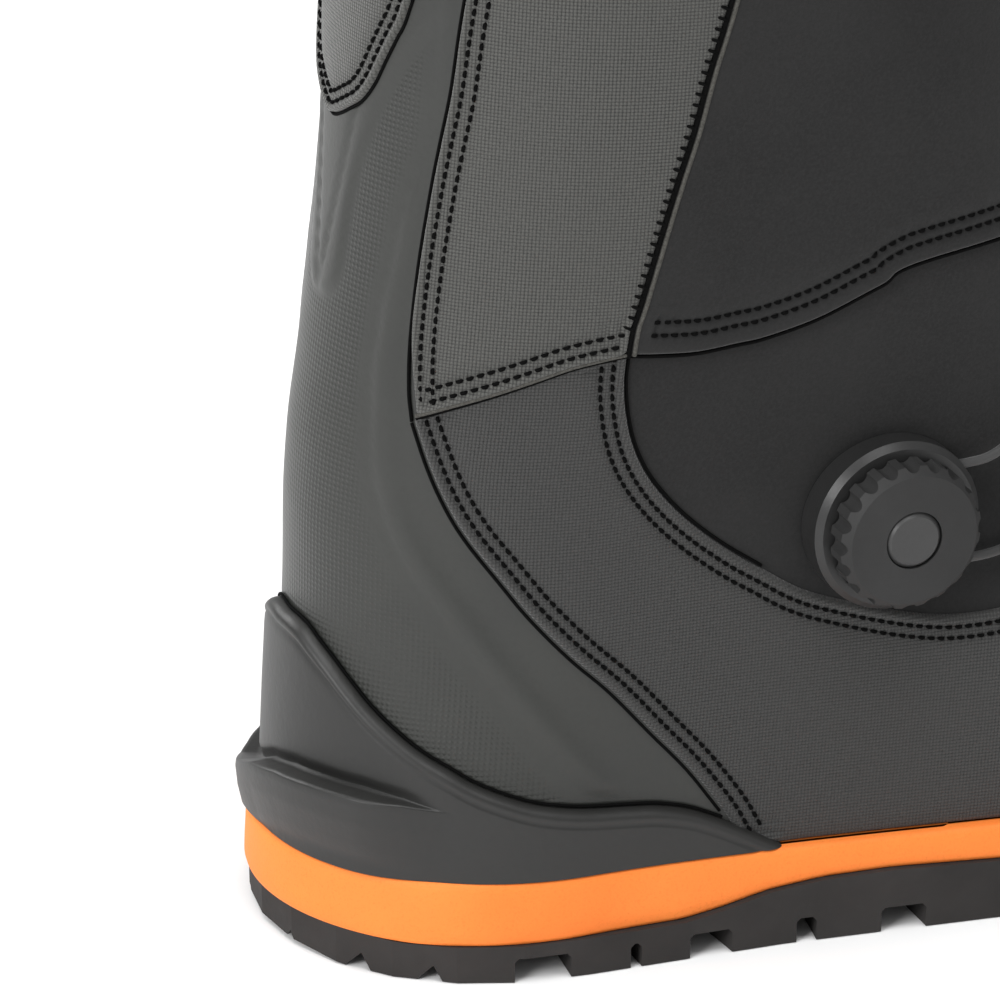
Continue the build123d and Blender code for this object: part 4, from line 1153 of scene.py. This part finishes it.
tongue_piece("tongue_foot", 84, 178, ("lower_boot", "cuff", *BLEND), ("tongue_base", "tongue_flex"),
             (118, 138, 156))
tongue_piece("tongue_leg", 174.5, 300, ("cuff", "tongue", (0.0, 0, 0.172), (0.0, 0, 0.181)),
             ("tongue_upper",), (201, 226, 250, 275), 7.0, 0.6)
pad("tongue_lining", tongue_outline(182, 303, 5.0, 7.0), M_LINING, "tongue", -6.4, 1.2,
    mode="front", rounding=1.5, replaces=("tongue_padding",))
pad("inner_boot_tongue", tongue_outline(184, 318, 3.2, 7.0), M_LINER, "tongue", -12.3, 4.0,
    mode="front", replaces=("liner_tongue",))


# ------------------------------------------------------------------ lace guides
# how far from the front the lace turns, as a share of the half contour
LACE_TURN = 0.175


def guide_pad(name, node, how, side, z0, z1, turning):
    """Moulded guide on the edge band: a pillow with a rib where the lace turns inside it."""
    middle, rise = (z0 + z1) / 2, (z1 - z0) / 2
    near = float(throat(middle)) + 1.5
    # the guide covers the lace's turn
    walk = at_share(1 - np.linspace(0, LACE_TURN, 30), np.full(30, middle), np.full(30, -side))
    far = np.linalg.norm(np.diff(walk, axis=0), axis=1).sum() + 5.0 if turning else near + 13
    turn = np.linspace(0, 2 * np.pi, 72, endpoint=False)
    across, up = (np.sign(v) * np.abs(v) ** 0.5 for v in (np.cos(turn), np.sin(turn)))
    ring = np.stack([-side * (near + (far - near) / 2 * (1 + across)), middle + rise * up], 1)
    rib = min(rise, (far - near) / 2) * 0.5
    panel(name, ring, M_PLASTIC, how, 2.9, 6.4, mode="front", grid=1.0, roll=2.2,
          replaces=(node,), relief=lambda p, dist: 0.8 * np.exp(-((dist - rib) / 1.3) ** 2))


GUIDES = {
    "lateral": {"upper": ((190, 190), (213, 238), (261, 261)), "lower": ((110, 110), (130, 130))},
    "medial": {"upper": ((190, 213), (238, 261)), "lower": ((110, 130),)},
}
for side, tag in SIDES:
    for zone, how in (("upper", "cuff"), ("lower", "lower_boot")):
        for k, (low, high) in enumerate(GUIDES[tag][zone]):
            guide_pad(f"{zone}_guide_{tag}_{k + 1}", f"{zone}_guides_{tag}", how, side, low - 4.6, high + 4.6,
                      high > low)


# ------------------------------------------------------------------ cords and tape
def over(t, z, off):
    """Point over the form: t is 0 at the front, down to -1 and up to 1 round the two sides."""
    side = -1 if t < 0 else 1
    s = np.interp(1 - abs(t), US, rows_at(ARC[side], np.array([z], float))[0])
    return skin(-side * s, z, off)[0]


def collar_tape():
    """Folded tape over the collar's raw edge."""
    line = rim_line(0, float(reach(289)[0] - throat(289)), 22)
    s, z = spline(mirror(line[::-1]) + line[1:], 2.0).T
    profile = [(2.35, -3.2), (2.5, -1.5), (2.5, 0.2), (2.1, 1.5), (1.0, 2.4), (-0.8, 2.7), (-2.4, 2.3),
               (-3.5, 1.2), (-3.8, -0.5), (-3.8, -2.4)]
    verts = np.vstack([skin(s, z + dz, off) for off, dz in profile])
    uv = np.stack([np.tile(s, len(profile)), np.repeat(np.arange(len(profile)) * 1.3, len(s))], 1) / 10
    mesh_piece("collar_tape", verts, quads(len(profile), len(s)), M_WEB, "cuff", uv=uv,
               replaces=("collar_binding",))


collar_tape()


def web(name, line, width, how, replaces):
    """Flat webbing along a line in x and z."""
    q = spline(line, 1.2)
    t = unit(np.gradient(q, axis=0))
    w, thick = width / 2, 0.7
    y = np.array([-w, -w + 0.3, 0, w - 0.3, w, w - 0.3, 0, -w + 0.3])
    h = np.array([0, thick, thick + 0.05, thick, 0, -thick, -thick - 0.05, -thick])
    verts = np.stack([q[:, :1] - t[:, 1:] * h, np.tile(y, (len(q), 1)), q[:, 1:] + t[:, :1] * h], -1)
    uv = np.stack([np.repeat(np.arange(len(q)) * 0.12, len(y)), np.tile(y / 10, len(q))], 1)
    mesh_piece(name, verts.reshape(-1, 3), closed_tube(len(q), len(y)), M_WEB, how, uv=uv,
               replaces=replaces)


REAR_LOOP = [(3.0, 240), (3.1, 262), (3.5, 274), (4.4, 284), (6.6, 289), (9.6, 290.5), (12.6, 288),
             (13.2, 283), (10.8, 274), (6.8, 264), (5.2, 254), (5.0, 240)]
TONGUE_LOOP = [(1.3, 274), (1.3, 288), (1.3, 300), (2.5, 306), (5.4, 308), (8.3, 306), (8.9, 301),
               (6.4, 293), (3.8, 286), (3.5, 274)]
web("rear_loop", [(float(column(1, z)) - off, z) for off, z in REAR_LOOP], 20, "cuff", ("rear_pull_loop",))
web("tongue_loop", [(float(column(2, z)) + off, z) for off, z in TONGUE_LOOP], 18, "tongue",
    ("tongue_pull_loop",))

# laces of the cuff: the runs over the tongue, and the rest in the guides
LACE, LACE_R = 5.2, 0.9
for k, z in enumerate((190, 213, 238, 261)):
    for way, tag in ((-1, "lateral"), (1, "medial")):
        stops = [(0.125, LACE), (0.115, LACE), (0.075, 4.6), (0.035, 3.9), (1e-6, 3.6)]
        tube(f"lace_over_{k}_{tag}", [over(way * t, z, off) for t, off in stops], LACE_R, M_LACE,
             ("cuff", "tongue", (0, way * 0.022, 0.2), (0, way * 0.009, 0.2)))
for end, sign, stops, replaces in (
    ("low", -1, [(-0.20, 199, 5.8), (-0.16, 193, LACE), (-0.115, 190, LACE)], ("upper_lace",)),
    ("high", 1, [(-0.20, 240, 5.8), (-0.16, 254, LACE), (-0.115, 261, LACE)], ()),
):
    x, z = -32.0, 216.0 + sign * 9.8
    y = float(skin([s_of_x(-32, 216)], [216], [1.65])[0][1]) - 3.5
    start = [(x + 2, y, z), (x + 14, y, z), (x + 20, y + 0.3, z + sign * 0.2)]
    tube(f"upper_lace_feed_{end}", start + [over(*stop) for stop in stops], LACE_R, M_LACE, "cuff",
         replaces=replaces)
for letter, z0, z1, side in (("a", 190, 213, 1), ("b", 213, 238, -1), ("c", 238, 261, 1)):
    stops = [(0.115, 0), (0.155, 0.12), (LACE_TURN, 0.5), (0.155, 0.88), (0.115, 1)]
    turning = [over(side * t, z0 + (z1 - z0) * k, LACE) for t, k in stops]
    tube(f"upper_lace_turn_{letter}", turning, LACE_R, M_LACE, "cuff")

# ------------------------------------------------------------------ stitches
for side, tag in SIDES:
    # for each line: whether its rows lie left of it, the first point kept, the height and the distances
    sewn = {
        "quarter": ((EDGE_A_LOW[::-1], side < 0, 0, 1.36, (2.4, 4.6)),
                    (EDGE_D + side_line(PATCH_FRONT)[:-2], side < 0, 0, 1.36, (2.4, 4.6))),
        "cuff": ((EDGE_A, side > 0, 0, 2.2, (2.2, 4.6)),
                 (SEAM_B, side > 0, 1, 2.2, (2.2, 4.6)),
                 (SEAM_B2 + SEAM_B3[1:], side > 0, 1, 2.26, (4.2, 6.9))),
    }
    for part, lines in sewn.items():
        rows = [(inset(on(side, line), d, left)[first:], off) for line, left, first, off, ds in lines
                for d in ds]
        stitches(f"stitches_{part}_{tag}", rows, "soft")
for side, tag in SIDES:
    whip = [(on(side, [(s - 2.1, z + 0.6), (s - 0.9, z + 0.2), (s + 0.6, z - 0.4)]), 2.46)
            for s, z in spline(EDGE_C[1:-1], 2.1)[:-1]]
    stitches(f"stitches_whip_{tag}", whip, "cuff", pitch=9.0, length=2.3, r=0.34)
ring = mirror(PATCH_H) + PATCH_H[-2::-1]
stitches("stitches_rear_patch", [(inset(ring, d), 2.22) for d in (2.0, 4.0)], "cuff")

# ------------------------------------------------------------------ floor
bpy.ops.mesh.primitive_plane_add(size=30, location=(0, 0, -0.0002))
floor = bpy.context.object
floor.name = "floor"
white = Nodes("paper", (0.93, 0.93, 0.93), 0.9)
floor.data.materials.append(white.done(rough=white.ramp(white.noise(1.5, 2), 0, 1, 0.88, 0.94)))
